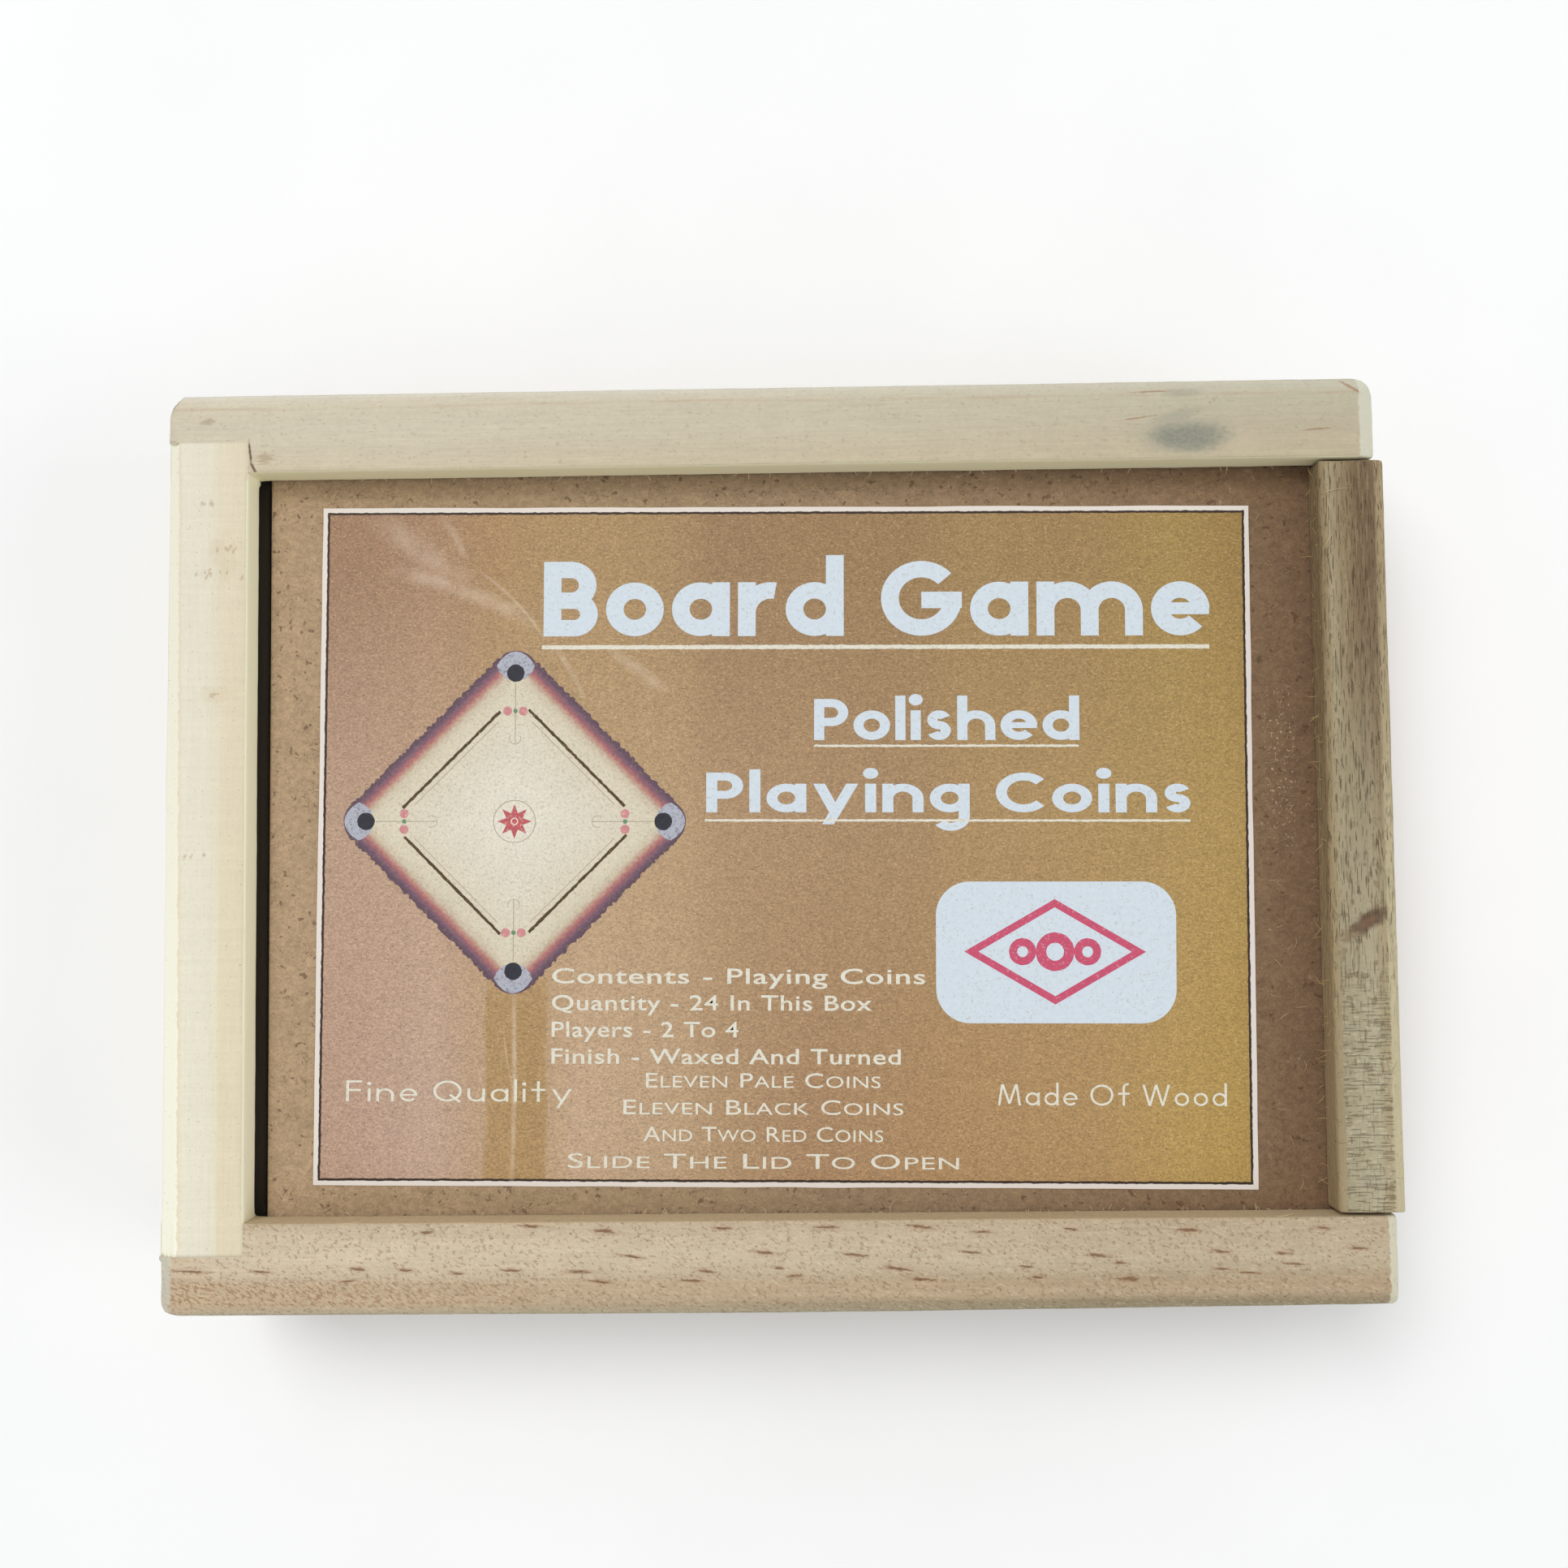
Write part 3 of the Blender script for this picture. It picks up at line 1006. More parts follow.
class Print:
    """Flat inked shapes on the label, gathered into one thin closed mesh. Each shape is a micron
    higher than the last, in turn, so that strokes may cross."""

    def __init__(self, layer=0):
        self.base = node_box("lid_label")[1][2] + INK_LIFT + layer * INK_THICKNESS
        self.shapes = 0
        self.points = []
        self.faces = []

    def heights(self):
        self.shapes += 1
        return self.base, self.base + INK_THICKNESS - 0.0007 * (self.shapes % 13)

    def prism(self, outline):
        """A filled outline, given anticlockwise as points on the label."""
        start, count = len(self.points), len(outline)
        for height in self.heights():
            self.points += [(u, v, height) for u, v in outline]
        self.faces.append([start + i for i in reversed(range(count))])
        self.faces.append([start + count + i for i in range(count)])
        for i in range(count):
            j = (i + 1) % count
            self.faces.append([start + i, start + j, start + count + j, start + count + i])

    def band(self, pairs, closed=False):
        """A strip through pairs of (left, right) points, seen along its way; closed joins its ends."""
        start, count = len(self.points), len(pairs)
        low, high = self.heights()
        for left, right in pairs:
            self.points += [(*left, low), (*right, low), (*right, high), (*left, high)]
        for i in range(count if closed else count - 1):
            here, there = start + 4 * i, start + 4 * ((i + 1) % count)
            for k in range(4):
                m = (k + 1) % 4
                self.faces.append([here + k, there + k, there + m, here + m])
        if not closed:
            end = start + 4 * (count - 1)
            self.faces += [[start, start + 1, start + 2, start + 3], [end + 3, end + 2, end + 1, end]]

    def disc(self, centre, radius, ragged=0.04, seed=1, sides=28):
        rng = np.random.default_rng(seed)
        outline = []
        for i in range(sides):
            turn = 2 * math.pi * i / sides
            reach = radius * (1 + ragged * rng.uniform(-1, 1))
            outline.append((centre[0] + reach * math.cos(turn), centre[1] + reach * math.sin(turn)))
        self.prism(outline)

    def ring(self, centre, radius, width, sides=48, start=0.0, end=360.0):
        """A circle or an arc of line, turning anticlockwise from start to end in degrees."""
        whole = end - start >= 360
        pairs = []
        for i in range(sides if whole else sides + 1):
            turn = math.radians(start + (end - start) * i / sides)
            pairs.append([(centre[0] + reach * math.cos(turn), centre[1] + reach * math.sin(turn))
                          for reach in (radius - width / 2, radius + width / 2)])
        self.band(pairs, closed=whole)

    def line(self, start, end, width, ragged=0.0, seed=2):
        """A bar from start to end whose edges wander by ragged."""
        rng = np.random.default_rng(seed)
        a, b = np.array(start, float), np.array(end, float)
        length = np.linalg.norm(b - a)
        across = np.array([a[1] - b[1], b[0] - a[0]]) / length * width / 2
        count = max(2, int(length / 0.35)) if ragged else 2
        pairs = []
        for t in np.linspace(0, 1, count):
            wander = 1 + 2 * ragged / width * rng.uniform(-1, 1, 2)
            middle = a + (b - a) * t
            pairs.append((tuple(middle + across * wander[0]), tuple(middle - across * wander[1])))
        self.band(pairs)

    def build(self, name, material):
        mesh = mesh_of(name, label_frame(self.points), self.faces)
        return add_piece(name, mesh, [material], "lid", smooth=False)


class Letters(Print):
    """Plain geometric lettering drawn with bars and arcs of one width, a capital being 1 high."""

    def __init__(self, weight, x_height=0.72):
        super().__init__()
        self.weight = weight
        self.x_height = x_height
        self.left = 0.0

    def bar(self, x0, y0, x1, y1):
        """A straight stroke; a leaning one has level ends, and y1 isn't below y0."""
        if x0 == x1 or y0 == y1:
            self.line((self.left + x0, y0), (self.left + x1, y1), self.weight)
            return
        half = self.weight / 2 * math.hypot(x1 - x0, y1 - y0) / (y1 - y0)
        ends = ((x0, y0), (x1, y1))
        self.band([[(self.left + x + side * half, y) for side in (-1, 1)] for x, y in ends])

    def arc(self, x, y, radius, start=0.0, end=360.0):
        self.ring((self.left + x, y), radius, self.weight, sides=32, start=start, end=end)

    def stem(self, x, low, high):
        self.bar(x, low, x, high)

    def bowl(self):
        """The round of a, d, e, g and o; returns its middle and its radius."""
        radius = (self.x_height - self.weight) / 2
        return radius + self.weight / 2, radius

    def arch(self, x):
        """The shoulder of h, m and n from a stem at x, and its right leg; returns the leg's place."""
        radius = 0.2 + 0.1 * self.x_height
        top = self.x_height - self.weight / 2 - radius
        self.arc(x + radius, top, radius, 0, 180)
        self.stem(x + 2 * radius, 0, top)
        return x + 2 * radius

    def draw(self, letter):
        """Draws a letter from its left edge and returns its width."""
        w, top = self.weight, self.x_height
        half = w / 2
        middle, radius = self.bowl()
        right = 2 * radius + half
        if letter in "aodg":
            self.arc(middle, middle, radius)
            if letter != "o":
                self.stem(right, -0.12 if letter == "g" else 0, 1.08 if letter == "d" else top)
            if letter == "g":
                self.arc(right - 0.24, -0.12, 0.24, 215, 360)
            return right + half
        if letter == "e":
            self.arc(middle, middle, radius, 0, 318)
            self.line((self.left + half, middle), (self.left + right + 0.94 * half, middle), 0.72 * w)
            return right + half
        if letter in "hnmr":
            self.stem(half, 0, 1.08 if letter == "h" else top)
            if letter == "r":
                self.arc(half + 0.3, top - half - 0.3, 0.3, 80, 180)
                return half + 0.38
            leg = self.arch(half)
            return (self.arch(leg) if letter == "m" else leg) + half
        if letter in "li":
            self.stem(half, 0, 1.08 if letter == "l" else top)
            if letter == "i":
                self.disc((self.left + half, top + 0.2 + half * 0.6), 0.62 * w + 0.015, ragged=0)
            return w
        if letter == "u":
            self.arc(0.26 + half, 0.26 + half, 0.26, 180, 360)
            self.stem(half, 0.26 + half, top)
            self.stem(0.52 + half, 0, top)
            return 0.52 + w
        if letter in "ft":
            stem = 0.2 + half
            if letter == "f":
                self.stem(stem, 0, 0.84)
                self.arc(stem + 0.18, 0.84, 0.18, 80, 180)
            else:
                self.stem(stem, 0, 0.98)
            self.bar(0, top - half, stem + half + 0.2, top - half)
            return stem + half + 0.2
        if letter == "s":
            radius = (top - w) / 4
            self.arc(radius * 1.2 + half, top - half - radius, radius, 25, 270)
            self.arc(radius * 1.2 + half, half + radius, radius, -155, 90)
            return 2.4 * radius + w
        if letter == "y":
            self.bar(0.3 + half, 0.02, 0.02 + half, top)
            self.bar(0.18 + half, -0.3, 0.62 + half, top)
            return 0.64 + w
        return self.draw_capital(letter)

    def draw_capital(self, letter):
        w, half = self.weight, self.weight / 2
        radius = (1 - w) / 2
        if letter in "OQ":
            self.arc(0.5, 0.5, radius)
            if letter == "Q":
                self.line((self.left + 0.58, 0.34), (self.left + 0.94, -0.02), w)
            return 1.0
        if letter in "CG":
            self.arc(0.5, 0.5, radius, 42, 318 if letter == "C" else 360)
            if letter == "G":
                self.bar(0.5, 0.5 - half * 0.2, 1.0, 0.5 - half * 0.2)
            return 0.9 if letter == "C" else 1.0
        if letter in "BP":
            waist = 0.5 - half * 0.2 if letter == "B" else 0.44
            self.stem(half, 0, 1)
            rounds = [(waist, 1 - half, 0.34)] + ([(half, waist, 0.38)] if letter == "B" else [])
            for low, high, reach in rounds:
                bend = (high - low) / 2
                for level in (low, high):
                    self.bar(half, level, reach, level)
                self.arc(reach, low + bend, bend, -90, 90)
            return rounds[-1][2] + (rounds[-1][1] - rounds[-1][0]) / 2 + half
        if letter == "F":
            self.stem(half, 0, 1)
            self.bar(half, 1 - half, 0.56, 1 - half)
            self.bar(half, 0.54, 0.52, 0.54)
            return 0.56
        if letter == "M":
            for x0, y0, x1, y1 in ((half, 0, 0.14 + half, 1), (0.5, 0.08, 0.16 + half, 1),
                                   (0.5, 0.08, 0.84 - half, 1), (1 - half, 0, 0.86 - half, 1)):
                self.bar(x0, y0, x1, y1)
            return 1.0
        for x0, x1 in ((0.32, half), (0.32, 0.6), (0.88, 0.6), (0.88, 1.2 - half)):
            self.bar(x0, 0, x1, 1)
        return 1.2

    def write(self, name, text, left, base, width, height, material, gap):
        """Writes one line from left and up from base, fitted to a width and a capital's height."""
        for letter in text:
            self.left += 0.36 if letter == " " else self.draw(letter) + gap
        points = np.array(self.points)
        start, end = points[:, 0].min(), points[:, 0].max()
        points[:, 0] = left + (points[:, 0] - start) * width / (end - start)
        points[:, 1] = base + points[:, 1] * height
        self.points = points
        return self.build(name, material)


def rounded_outline(corners, radius, steps=8, ragged=0.0, seed=3, spacing=0.0):
    """A polygon with round corners; its sides can be cut into short ragged steps."""
    rng = np.random.default_rng(seed)
    corners = [np.array(corner, float) for corner in corners]
    outline = []
    for i, corner in enumerate(corners):
        before = corners[i - 1] - corner
        after = corners[(i + 1) % len(corners)] - corner
        before /= np.linalg.norm(before)
        after /= np.linalg.norm(after)
        half = math.acos(np.clip(before @ after, -1, 1)) / 2
        middle = (before + after) / np.linalg.norm(before + after)
        centre = corner + middle * radius / math.sin(half)
        first = math.atan2(*(corner + before * radius / math.tan(half) - centre)[::-1])
        sweep = math.pi - 2 * half
        turning = 1 if np.cross(-before, after) > 0 else -1
        for step in range(steps + 1):
            turn = first + turning * sweep * step / steps
            outline.append(centre + radius * np.array([math.cos(turn), math.sin(turn)]))
    if not spacing:
        return [(p[0], p[1]) for p in outline]
    cut = []
    for a, b in zip(outline, outline[1:] + outline[:1]):
        count = max(1, int(np.linalg.norm(b - a) / spacing))
        side = (b - a) / max(np.linalg.norm(b - a), 1e-9)
        outward = np.array([side[1], -side[0]])
        for step in range(count):
            jag = ragged * rng.uniform(-1, 1) if count > 3 else 0
            cut.append(a + (b - a) * step / count + outward * jag)
    return [(p[0], p[1]) for p in cut]


def lettering(name, text, left, base, width, height, material, bold=0.0, small_caps=False, spacing=1.0):
    """One line of print from left and up from base, fitted to a width and a capital's height."""
    curve = bpy.data.curves.new(name, "FONT")
    curve.body = text
    curve.space_character = spacing
    curve.offset = bold
    curve.resolution_u = 4
    curve.fill_mode = "BOTH"
    curve.extrude = 0.01
    if small_caps:
        curve.small_caps_scale = 0.8
        for form in curve.body_format:
            form.use_small_caps = True
    letters = bpy.data.objects.new(name, curve)
    SCENE.collection.objects.link(letters)
    seen = letters.evaluated_get(bpy.context.evaluated_depsgraph_get())
    mesh = bpy.data.meshes.new_from_object(seen)
    bpy.data.objects.remove(letters)
    flat = np.empty(len(mesh.vertices) * 3, np.float32)
    mesh.vertices.foreach_get("co", flat)
    points = flat.reshape(-1, 3).astype(float)
    cap_height = 0.73
    left_edge, right_edge = points[:, 0].min(), points[:, 0].max()
    points[:, 0] = left + (points[:, 0] - left_edge) * width / (right_edge - left_edge)
    points[:, 1] = base + points[:, 1] * height / cap_height
    bottom = node_box("lid_label")[1][2] + INK_LIFT
    points[:, 2] = np.where(points[:, 2] > 0, bottom + INK_THICKNESS, bottom)
    jitter = 0.035
    points[:, 0] += jitter * lattice_noise(points, (0.5, 0.5, 9), 320)
    points[:, 1] += jitter * lattice_noise(points, (0.5, 0.5, 9), 321)
    set_coordinates(mesh, label_frame(points))
    mesh.materials.clear()
    return add_piece(name, mesh, [material], "lid", smooth=False)


def label_text(white, cream):
    """Generic words in the places and sizes of a box label's print."""
    Letters(0.22).write("print_headline", "Board Game", -31.6, 27.2, 87.3, 9.9, white, 0.1)
    Letters(0.2).write("print_second_line", "Polished", 4.0, 13.5, 34.6, 5.4, white, 0.1)
    Letters(0.2).write("print_third_line", "Playing Coins", -10.1, 4.05, 63.0, 5.2, white, 0.11)
    row_step = 3.45
    details = [("contents", "Contents - Playing Coins", 48.5),
               ("quantity", "Quantity - 24 In This Box", 41.6),
               ("players", "Players - 2 To 4", 24.3),
               ("finish", "Finish - Waxed And Turned", 45.3)]
    for row, (name, text, width) in enumerate(details):
        lettering(f"print_{name}", text, -30.1, -18.2 - row * row_step, width, 2.05, cream,
                  bold=0.01, spacing=1.06)
    centred = [("pale_coins", "Eleven Pale Coins", 30.4), ("black_coins", "Eleven Black Coins", 36.2),
               ("red_coins", "And Two Red Coins", 31.0), ("opening", "Slide The Lid To Open", 50.5)]
    for row, (name, text, width) in enumerate(centred):
        lettering(f"print_{name}", text, -2.6 - width / 2, -31.6 - row * row_step, width, 2.0, cream,
                  bold=0.0, small_caps=True, spacing=1.04)
    Letters(0.1, 0.62).write("print_left_phrase", "Fine Quality", -56.8, -33.5, 29.4, 2.7, cream, 0.2)
    Letters(0.1, 0.62).write("print_right_phrase", "Made Of Wood", 27.7, -33.75, 29.4, 2.7, cream, 0.2)
    rules = Print()
    underlines = ((-31.8, 55.6, 25.75, 0.55), (4.0, 38.5, 12.75, 0.3), (-10.3, 52.9, 3.0, 0.3))
    for start, end, height, width in underlines:
        rules.line((start, height), (end, height), width, ragged=0.04)
    rules.build("print_rules", cream)


def label_badge(white, pink):
    """A white plate with a plain diamond of coins on it."""
    plate = Print()
    plate_corners = [(19.8, -23.25), (50.8, -23.2), (50.9, -4.9), (19.8, -4.95)]
    plate.prism(rounded_outline(plate_corners, 4.4, steps=12))
    plate.build("print_plate", white)
    centre = np.array([35.2, -14.0])
    reach, rise = 11.4, 6.6
    badge = Print(1)
    corners = ((1, 0), (0, 1), (-1, 0), (0, -1))
    badge.band([[tuple(centre + (across * reach * share, up * rise * share)) for share in (0.87, 1.03)]
                for across, up in corners], closed=True)
    coin_places = [(centre + np.array([across * 4.2, 0]), across == 0) for across in (-1, 0, 1)]
    for place, is_middle in coin_places:
        badge.disc(place, 2.5 if is_middle else 1.75, sides=40, ragged=0.015)
    badge.build("print_badge", pink)
    centres = Print(2)
    for place, is_middle in coin_places:
        centres.disc(place, 1.15 if is_middle else 0.7, sides=32, ragged=0.02)
    centres.build("print_badge_centres", white)


def label_board(centre, half):
    """A printed playing board, standing on one corner."""
    inks = {"cap": ink("ink_silver", (176, 178, 188), 0.16, (118, 118, 132), 0.56),
            "pocket": ink("ink_black", (50, 50, 58), 0.3),
            "line": ink("ink_dark_line", (82, 64, 40), 0.2, (150, 126, 88), 0.62),
            "thin": ink("ink_faint_line", (176, 164, 140), 0.1),
            "pink": ink("ink_pink", (206, 138, 140), 0.12, (226, 196, 186), 0.6),
            "green": ink("ink_green", (104, 146, 108), 0.12),
            "star": ink("ink_red", (190, 92, 96), 0.14, (228, 180, 168), 0.6),
            "pale": ink("ink_pale", (232, 208, 196), 0.08)}
    cu, cv = centre

    def turned(point, quarter):
        """point, from the picture's centre, turned by quarters."""
        for _ in range(quarter):
            point = (-point[1], point[0])
        return (cu + point[0], cv + point[1])

    field = Print()
    corners = [turned((half + 1.3, 0), quarter) for quarter in range(4)]
    field.prism(rounded_outline(corners, 3.0, ragged=0.22, seed=331, spacing=0.3))
    field.build("print_board", board_picture_ink(centre, half))
    caps, pockets, lines, thin = Print(1), Print(2), Print(1), Print(1)
    pink, green = Print(2), Print(3)
    cap_side = ((3.6, 1.3), (2.7, 2.2), (1.9, 2.5), (1.1, 1.95), (0.5, 1.3), (0.15, 0.65))
    for quarter in range(4):
        cap = [(half - 3.9, 0)]
        cap += [(half - inward, -out) for inward, out in cap_side]
        cap += [(half - 0.05, 0)]
        cap += [(half - inward, out) for inward, out in reversed(cap_side)]
        caps.prism([turned(p, quarter) for p in cap])
        pockets.disc(turned((19.5, 0), quarter), 1.15, ragged=0.03, seed=340 + quarter)
        lines.line(turned((14.45, 2.0), quarter), turned((1.75, 14.7), quarter), 0.38,
                   ragged=0.05, seed=344 + quarter)
        thin.line(turned((13.1, 2.2), quarter), turned((2.2, 13.1), quarter), 0.09)
        thin.line(turned((10.2, 0), quarter), turned((18.2, 0), quarter), 0.1)
        thin.ring(turned((10.9, 0), quarter), 0.75, 0.08, sides=20,
                  start=60 + 90 * quarter, end=300 + 90 * quarter)
        for side in (-1, 1):
            pink.disc(turned((14.5, side * 1.03), quarter), 0.58,
                      ragged=0.07, seed=350 + quarter * 2 + side)
        green.disc(turned((14.5, 0), quarter), 0.28, ragged=0.1, seed=360 + quarter)
    caps.build("print_board_caps", inks["cap"])
    pockets.build("print_board_pockets", inks["pocket"])
    lines.build("print_board_lines", inks["line"])
    thin.ring((cu, cv), 2.75, 0.1)
    thin.build("print_board_thin_lines", inks["thin"])
    pink.build("print_board_pink_spots", inks["pink"])
    green.build("print_board_green_spots", inks["green"])
    star = Print(2)
    tips = 8
    outline = []
    for step in range(2 * tips):
        reach = 2.25 if step % 2 == 0 else 1.15
        turn = math.pi * step / tips
        outline.append((cu + reach * math.cos(turn), cv + reach * math.sin(turn)))
    star.prism(outline)
    star.build("print_board_star", inks["star"])
    middle = Print(3)
    middle.ring((cu, cv), 0.42, 0.16, sides=24)
    middle.build("print_board_star_ring", inks["pale"])


def add_label():
    label_sheet()
    white = ink("ink_white", (211, 221, 229), 0.05, (190, 192, 184), 0.62)
    cream = ink("ink_white_soft", (226, 222, 206), 0.07, (204, 188, 160), 0.58)
    pink = ink("ink_badge_pink", (200, 84, 112), 0.1, (222, 150, 166), 0.62)
    label_text(white, cream)
    label_badge(white, pink)
    label_board((-35.2, 2.85), 22.4)


def coin_profile(radius, thick, edge):
    """Half of a coin's section from the middle of its lower face to the middle of its upper one:
    (distance out, height, 1 on a painted ring face)."""
    lower = [(0.0, 0.0, 0), (1.8, 0.0, 0), (3.6, 0.0, 0), (4.2, 0.32, 1), (4.8, 0.7, 1), (6.6, 0.7, 1),
             (8.4, 0.7, 1), (9.0, 0.32, 1), (9.6, 0.0, 0), (10.4, 0.0, 0), (11.2, 0.0, 0), (11.6, 0.4, 1),
             (12.0, 0.0, 0), (12.9, 0.0, 0)]
    arc_steps = 8
    arc = [(radius - edge + edge * math.sin(turn), edge - edge * math.cos(turn), 0)
           for turn in np.linspace(0, math.pi / 2, arc_steps)]
    half = lower + arc
    return half + [(out, thick - up, ring) for out, up, ring in reversed(half)]


def frame_slot(node):
    """The record's material slot of a CAD node."""
    return next(part["material_slot"] for part in frame["record"]["subparts"] if part["node"] == node)


def add_coins():
    """Every coin, turned about its own axis, with its grain at its own angle."""
    materials = coin_materials()
    sides = 72
    rng = np.random.default_rng(400)
    for node in sorted(n for n in frame["nodes"] if n.startswith("coin_")):
        low, high = node_box(node)
        centre = (low + high) / 2
        section = coin_profile((high[0] - low[0]) / 2, high[2] - low[2], 1.6)
        points, faces, rings = [], [], []
        for out, up, _ in section[1:-1]:
            for side in range(sides):
                turn = 2 * math.pi * side / sides
                points.append((out * math.cos(turn), out * math.sin(turn), up))
        rows = len(section) - 2
        for row in range(rows - 1):
            painted = section[row + 1][2] and section[row + 2][2]
            for side in range(sides):
                a, b = row * sides + side, row * sides + (side + 1) % sides
                faces.append([a, b, b + sides, a + sides])
                rings.append(1 if painted else 0)
        points += [(0, 0, section[0][1]), (0, 0, section[-1][1])]
        for side in range(sides):
            after = (side + 1) % sides
            faces.append([after, side, rows * sides])
            faces.append([(rows - 1) * sides + side, (rows - 1) * sides + after, rows * sides + 1])
            rings += [0, 0]
        points = np.array(points)
        spin = rng.uniform(0, 2 * math.pi)
        c, s = math.cos(spin), math.sin(spin)
        turned = points @ np.array([[c, s, 0], [-s, c, 0], [0, 0, 1]]) + [0, 0, rng.uniform(0, 400)]
        placed = points + [centre[0], centre[1], low[2]]
        mesh = mesh_of(f"{node}_turned", placed, faces)
        attribute = mesh.attributes.new("turned", "FLOAT_VECTOR", "POINT")
        attribute.data.foreach_set("vector", turned.astype(np.float32).ravel())
        mesh.polygons.foreach_set("material_index", rings)
        slot = frame_slot(node)
        kind = slot.removeprefix("coin_")
        both = [materials[kind, "body"], materials[kind, "ring"]]
        piece = add_piece(f"{node}_turned", mesh, both, "coins")
        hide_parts(node)


def tube(points, radius, sides=5):
    """A closed tapered tube along points, as points and faces."""
    points = np.asarray(points, float)
    count = len(points)
    ahead = np.gradient(points, axis=0)
    ahead /= np.linalg.norm(ahead, axis=1)[:, None]
    side = np.cross(ahead, (0.1, 0.2, 1.0))
    side /= np.linalg.norm(side, axis=1)[:, None]
    up = np.cross(side, ahead)
    made, faces = [], []
    for i in range(count):
        taper = radius * max(0.25, math.sin(math.pi * min(1, 0.15 + 0.85 * i / (count - 1))) ** 0.5)
        for j in range(sides):
            turn = 2 * math.pi * j / sides
            made.append(points[i] + taper * (math.cos(turn) * side[i] + math.sin(turn) * up[i]))
    for i in range(count - 1):
        for j in range(sides):
            k = (j + 1) % sides
            faces.append([i * sides + j, i * sides + k, (i + 1) * sides + k, (i + 1) * sides + j])
    faces.append(list(reversed(range(sides))))
    faces.append([(count - 1) * sides + j for j in range(sides)])
    return made, faces


def fibre_tuft(name, starts, lengths, heading, lift, radius, body, material, seed, spread=38):
    """Loose fibres from given points: heading is their mean direction in degrees, spread how far they
    stray from it and lift their rise."""
    rng = np.random.default_rng(seed)
    all_points, all_faces = [], []
    for start in starts:
        length = rng.uniform(*lengths)
        turn = math.radians(heading + rng.normal(0, spread))
        curl = rng.normal(0, spread / 42) / length
        steps = 6
        spot = np.array(start, float)
        path = [spot.copy()]
        rise = lift * rng.uniform(0.2, 1.0)
        for step in range(steps):
            turn += curl * length / steps
            slope = rise * (1 - 2 * step / steps)
            spot = spot + length / steps * np.array([math.cos(turn), math.sin(turn), slope])
            spot[2] = max(spot[2], start[2])
            path.append(spot.copy())
        made, faces = tube(path, radius * rng.uniform(0.7, 1.2))
        offset = len(all_points)
        all_points += made
        all_faces += [[offset + i for i in face] for face in faces]
    return add_piece(name, mesh_of(name, all_points, all_faces), [material], body)


def add_fibres():
    """Lint on the lid's bare margins, and hairs of torn wood along the batten and the rails."""
    rng = np.random.default_rng(500)
    panel_low, panel_high = node_box("lid_panel")
    batten_low, batten_high = node_box("lid_batten")
    label_low, label_high = node_box("lid_label")
    top = panel_high[2]
    lint = []
    while len(lint) < 46:
        x = rng.uniform(panel_low[0] + 1, batten_low[0] - 2)
        y = rng.uniform(batten_low[1] + 1.5, batten_high[1] - 1.5)
        on_paper = label_low[0] - 1 < x < label_high[0] + 1 and label_low[1] - 1 < y < label_high[1] + 1
        if not on_paper:
            lint.append((x, y, top + 0.03))
    straw = fibre_straw("loose_fibre", (196, 172, 138))
    fibre_tuft("lid_lint", lint, (0.6, 1.9), 0, 0.12, 0.03, "lid", straw, 501)
    gold = fibre_straw("torn_fibre", (190, 164, 112))
    edge = [(batten_low[0] + 0.05, y, top + rng.uniform(0.3, 4.4))
            for y in rng.uniform(batten_low[1] + 1, batten_high[1] - 1, 54)]
    fibre_tuft("batten_hairs", edge, (0.5, 2.0), 182, 0.1, 0.03, "lid", gold, 502)
    splinters = [(batten_low[0] + 0.3, y, batten_high[2] + 0.03) for y in (43.9, 36.6, 34.9, 23.1, 6.3)]
    fibre_tuft("batten_splinters", splinters, (3.0, 4.8), 56, 0.03, 0.034, "lid",
               fibre_straw("split_wood", (206, 188, 144)), 503, spread=16)
    pale = fibre_straw("rail_fibre", (214, 200, 160))
    clear_of_batten = batten_low[X] - LID_SHUTS_BY - 1.3
    for node, side, heading, seed in (("side_rail_back", 0, 270, 504), ("side_rail_front", 1, 90, 505)):
        inner = node_box(node)[side][Y]
        starts = [(x, inner + 0.15 * (1 if side == 0 else -1), top + rng.uniform(0.5, 1.1))
                  for x in rng.uniform(panel_low[X], clear_of_batten, 44)]
        fibre_tuft(f"{node}_hairs", starts, (0.3, 1.1), heading, 0.25, 0.035, "root",
                   pale, seed)
    torn = [(-55.6, -47.5, 28.6), (-54.4, -47.5, 28.5), (61.4, -47.55, 28.4), (65.6, -47.5, 28.5)]
    fibre_tuft("front_rail_splinters", torn, (2.6, 4.6), 1, 0.02, 0.05, "root",
               pale, 506, spread=4)


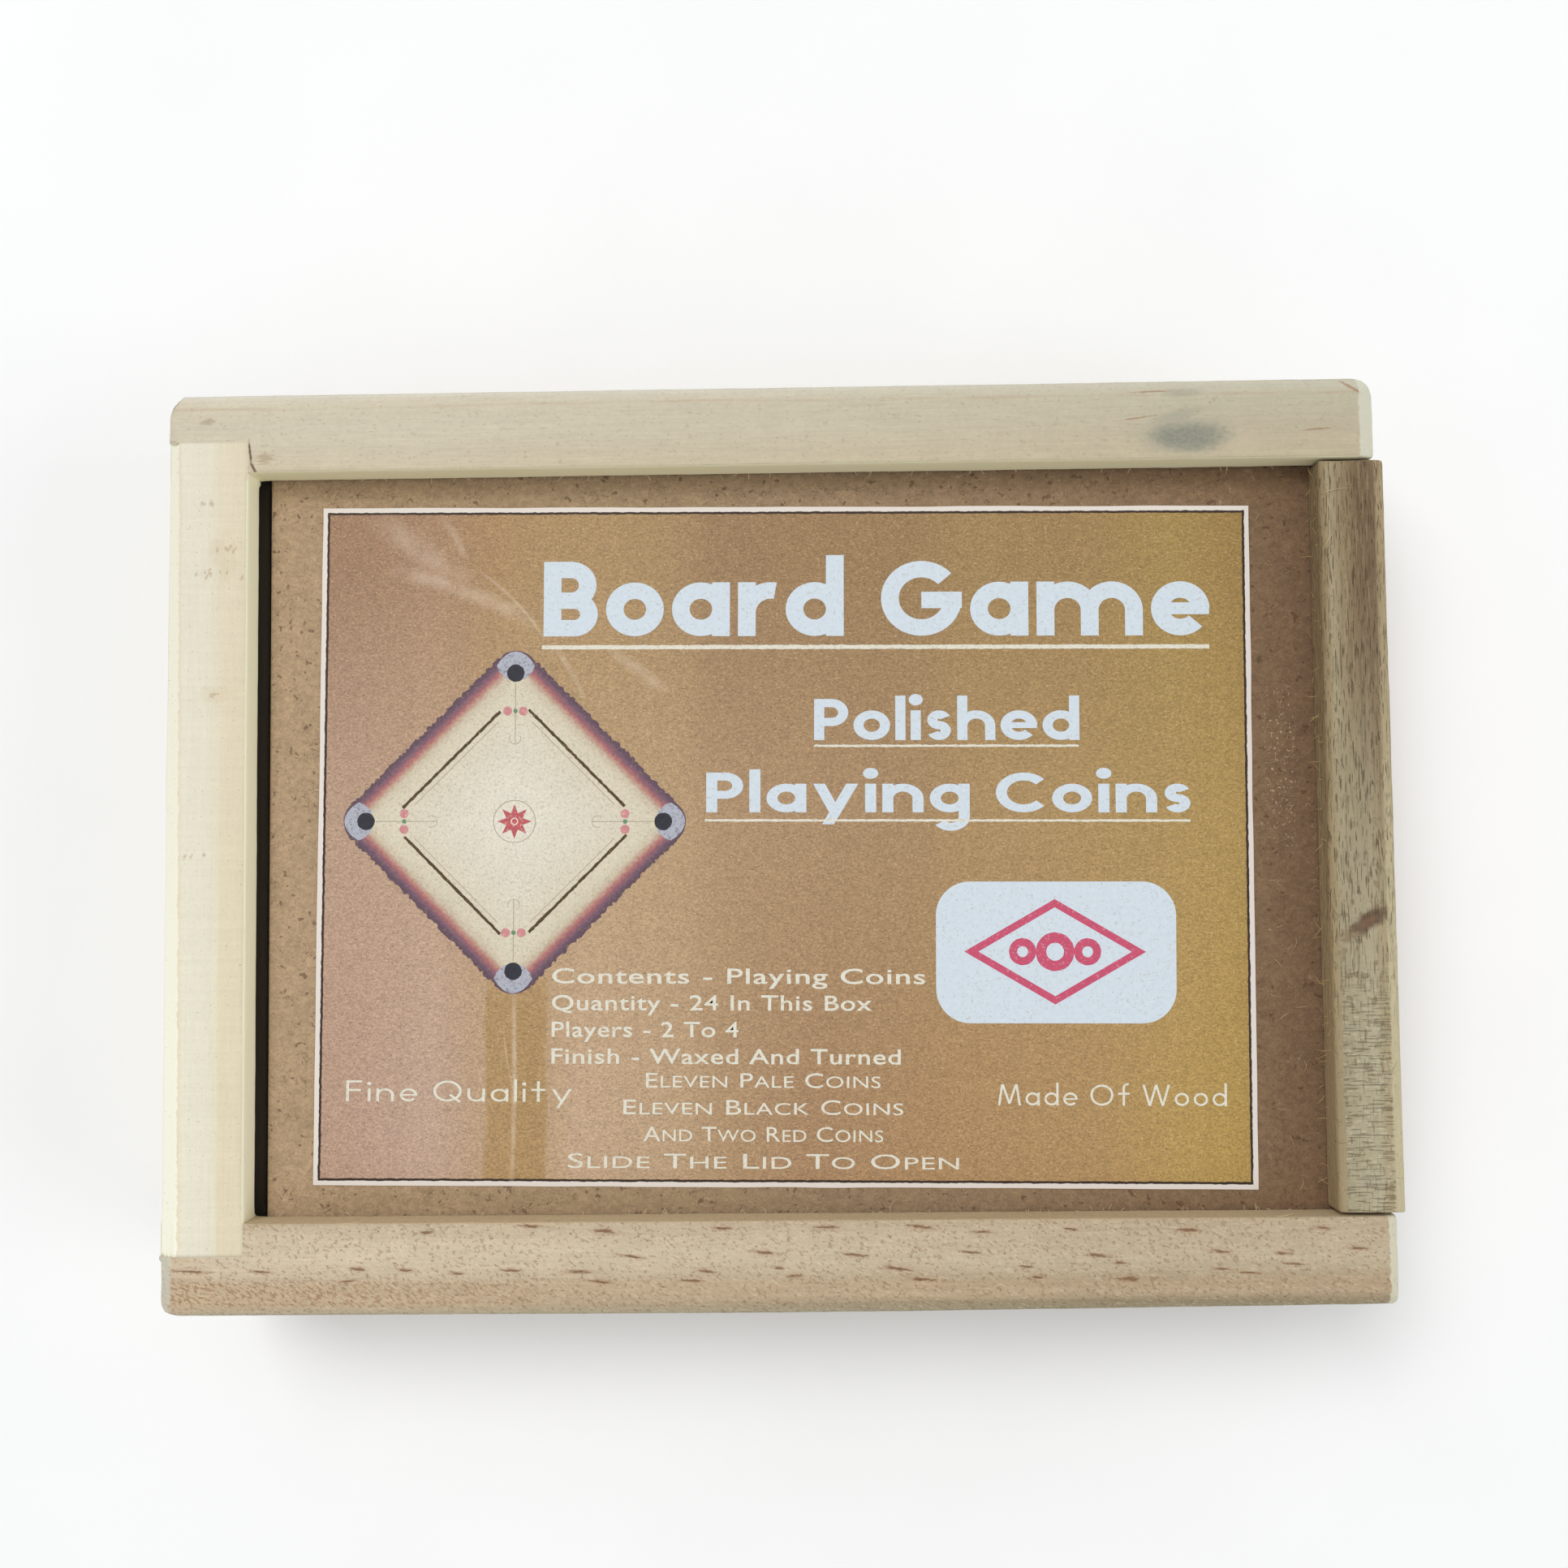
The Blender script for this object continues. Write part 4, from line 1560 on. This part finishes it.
def add_frame():
    """The four sides, the base and the pins."""
    low, high = node_box("side_rail_back")
    front = node_box("side_rail_front")[0]
    top, slope = high[2], 0.55
    round_corner = 3.3
    left_slant = ((low[0], 0, 0), (-1, 0.007, 0))
    back_cuts = [((0, 57.1, top), (0, slope, 1)), ((76.0, 0, top), (slope, 0, 1)),
                 ((low[0], high[1] - 3.6, 0), (-3.2, 1.8, 0)), left_slant]
    for turn in (18, 45, 72):
        outward = np.array([math.cos(math.radians(turn)), math.sin(math.radians(turn)), 0])
        centre = np.array([high[0] - round_corner, high[1] - round_corner, 0])
        back_cuts.append((centre + round_corner * outward, outward))
    front_cuts = [((0, front[1], 0), (0.0095, -1, 0)), ((0, -57.5, top), (0.0052, -slope, 1)),
                  ((76.8, 0, top), (slope, 0, 1)), ((-76.6, 0, top), (-slope, 0, 1)),
                  ((front[0], front[1] + 1.5, 0), (-1, -1, 0)),
                  ((high[0], front[1] + 1.0, 0), (1, -1, 0))]
    end_cuts = [((-75.8, 0, top), (-slope, 0, 1)), left_slant]
    worn_copy("side_rail_back", back_rail_wood(), 0.42, 2, X, 0.03, 210, back_cuts)
    worn_copy("side_rail_front", front_rail_wood(), 0.42, 2, X, 0.04, 220, front_cuts)
    worn_copy("end_rail_left", end_rail_wood(), 0.4, 2, Y, 0.025, 230, end_cuts)
    worn_copy("end_rail_right", low_wall_wood(), 0.5, 2, Y, 0.04, 240)
    worn_copy("lid_batten", batten_wood(), 0.3, 5, Y, 0.07, 250)
    dark = [(-78, (128, 98, 72)), (0, (122, 92, 66)), (78, (114, 86, 62))]
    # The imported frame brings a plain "pin_steel" of its own, which the pins under the base wear
    packed_steel = bpy.data.materials["pin_steel"]
    for node, material, slot in (("base_panel", hardboard("hardboard_base", dark, False), "hardboard_base"),
                                 ("corner_pins", pin_steel(), "pin_steel"),
                                 ("base_pins", packed_steel, "pin_steel")):
        part = frame["nodes"][node]
        part.data.materials.clear()
        part.data.materials.append(material)
    panel = frame["nodes"]["base_panel"]
    weld = panel.modifiers.new("weld", "WELD")
    weld.merge_threshold = 0.001 * MM
    bevel = panel.modifiers.new("rubbed_edges", "BEVEL")
    bevel.width = 0.35 * MM
    bevel.segments = 3
    bevel.limit_method = "ANGLE"


add_camera()
add_studio()
add_frame()
lid_board()
add_label()
add_coins()
add_fibres()
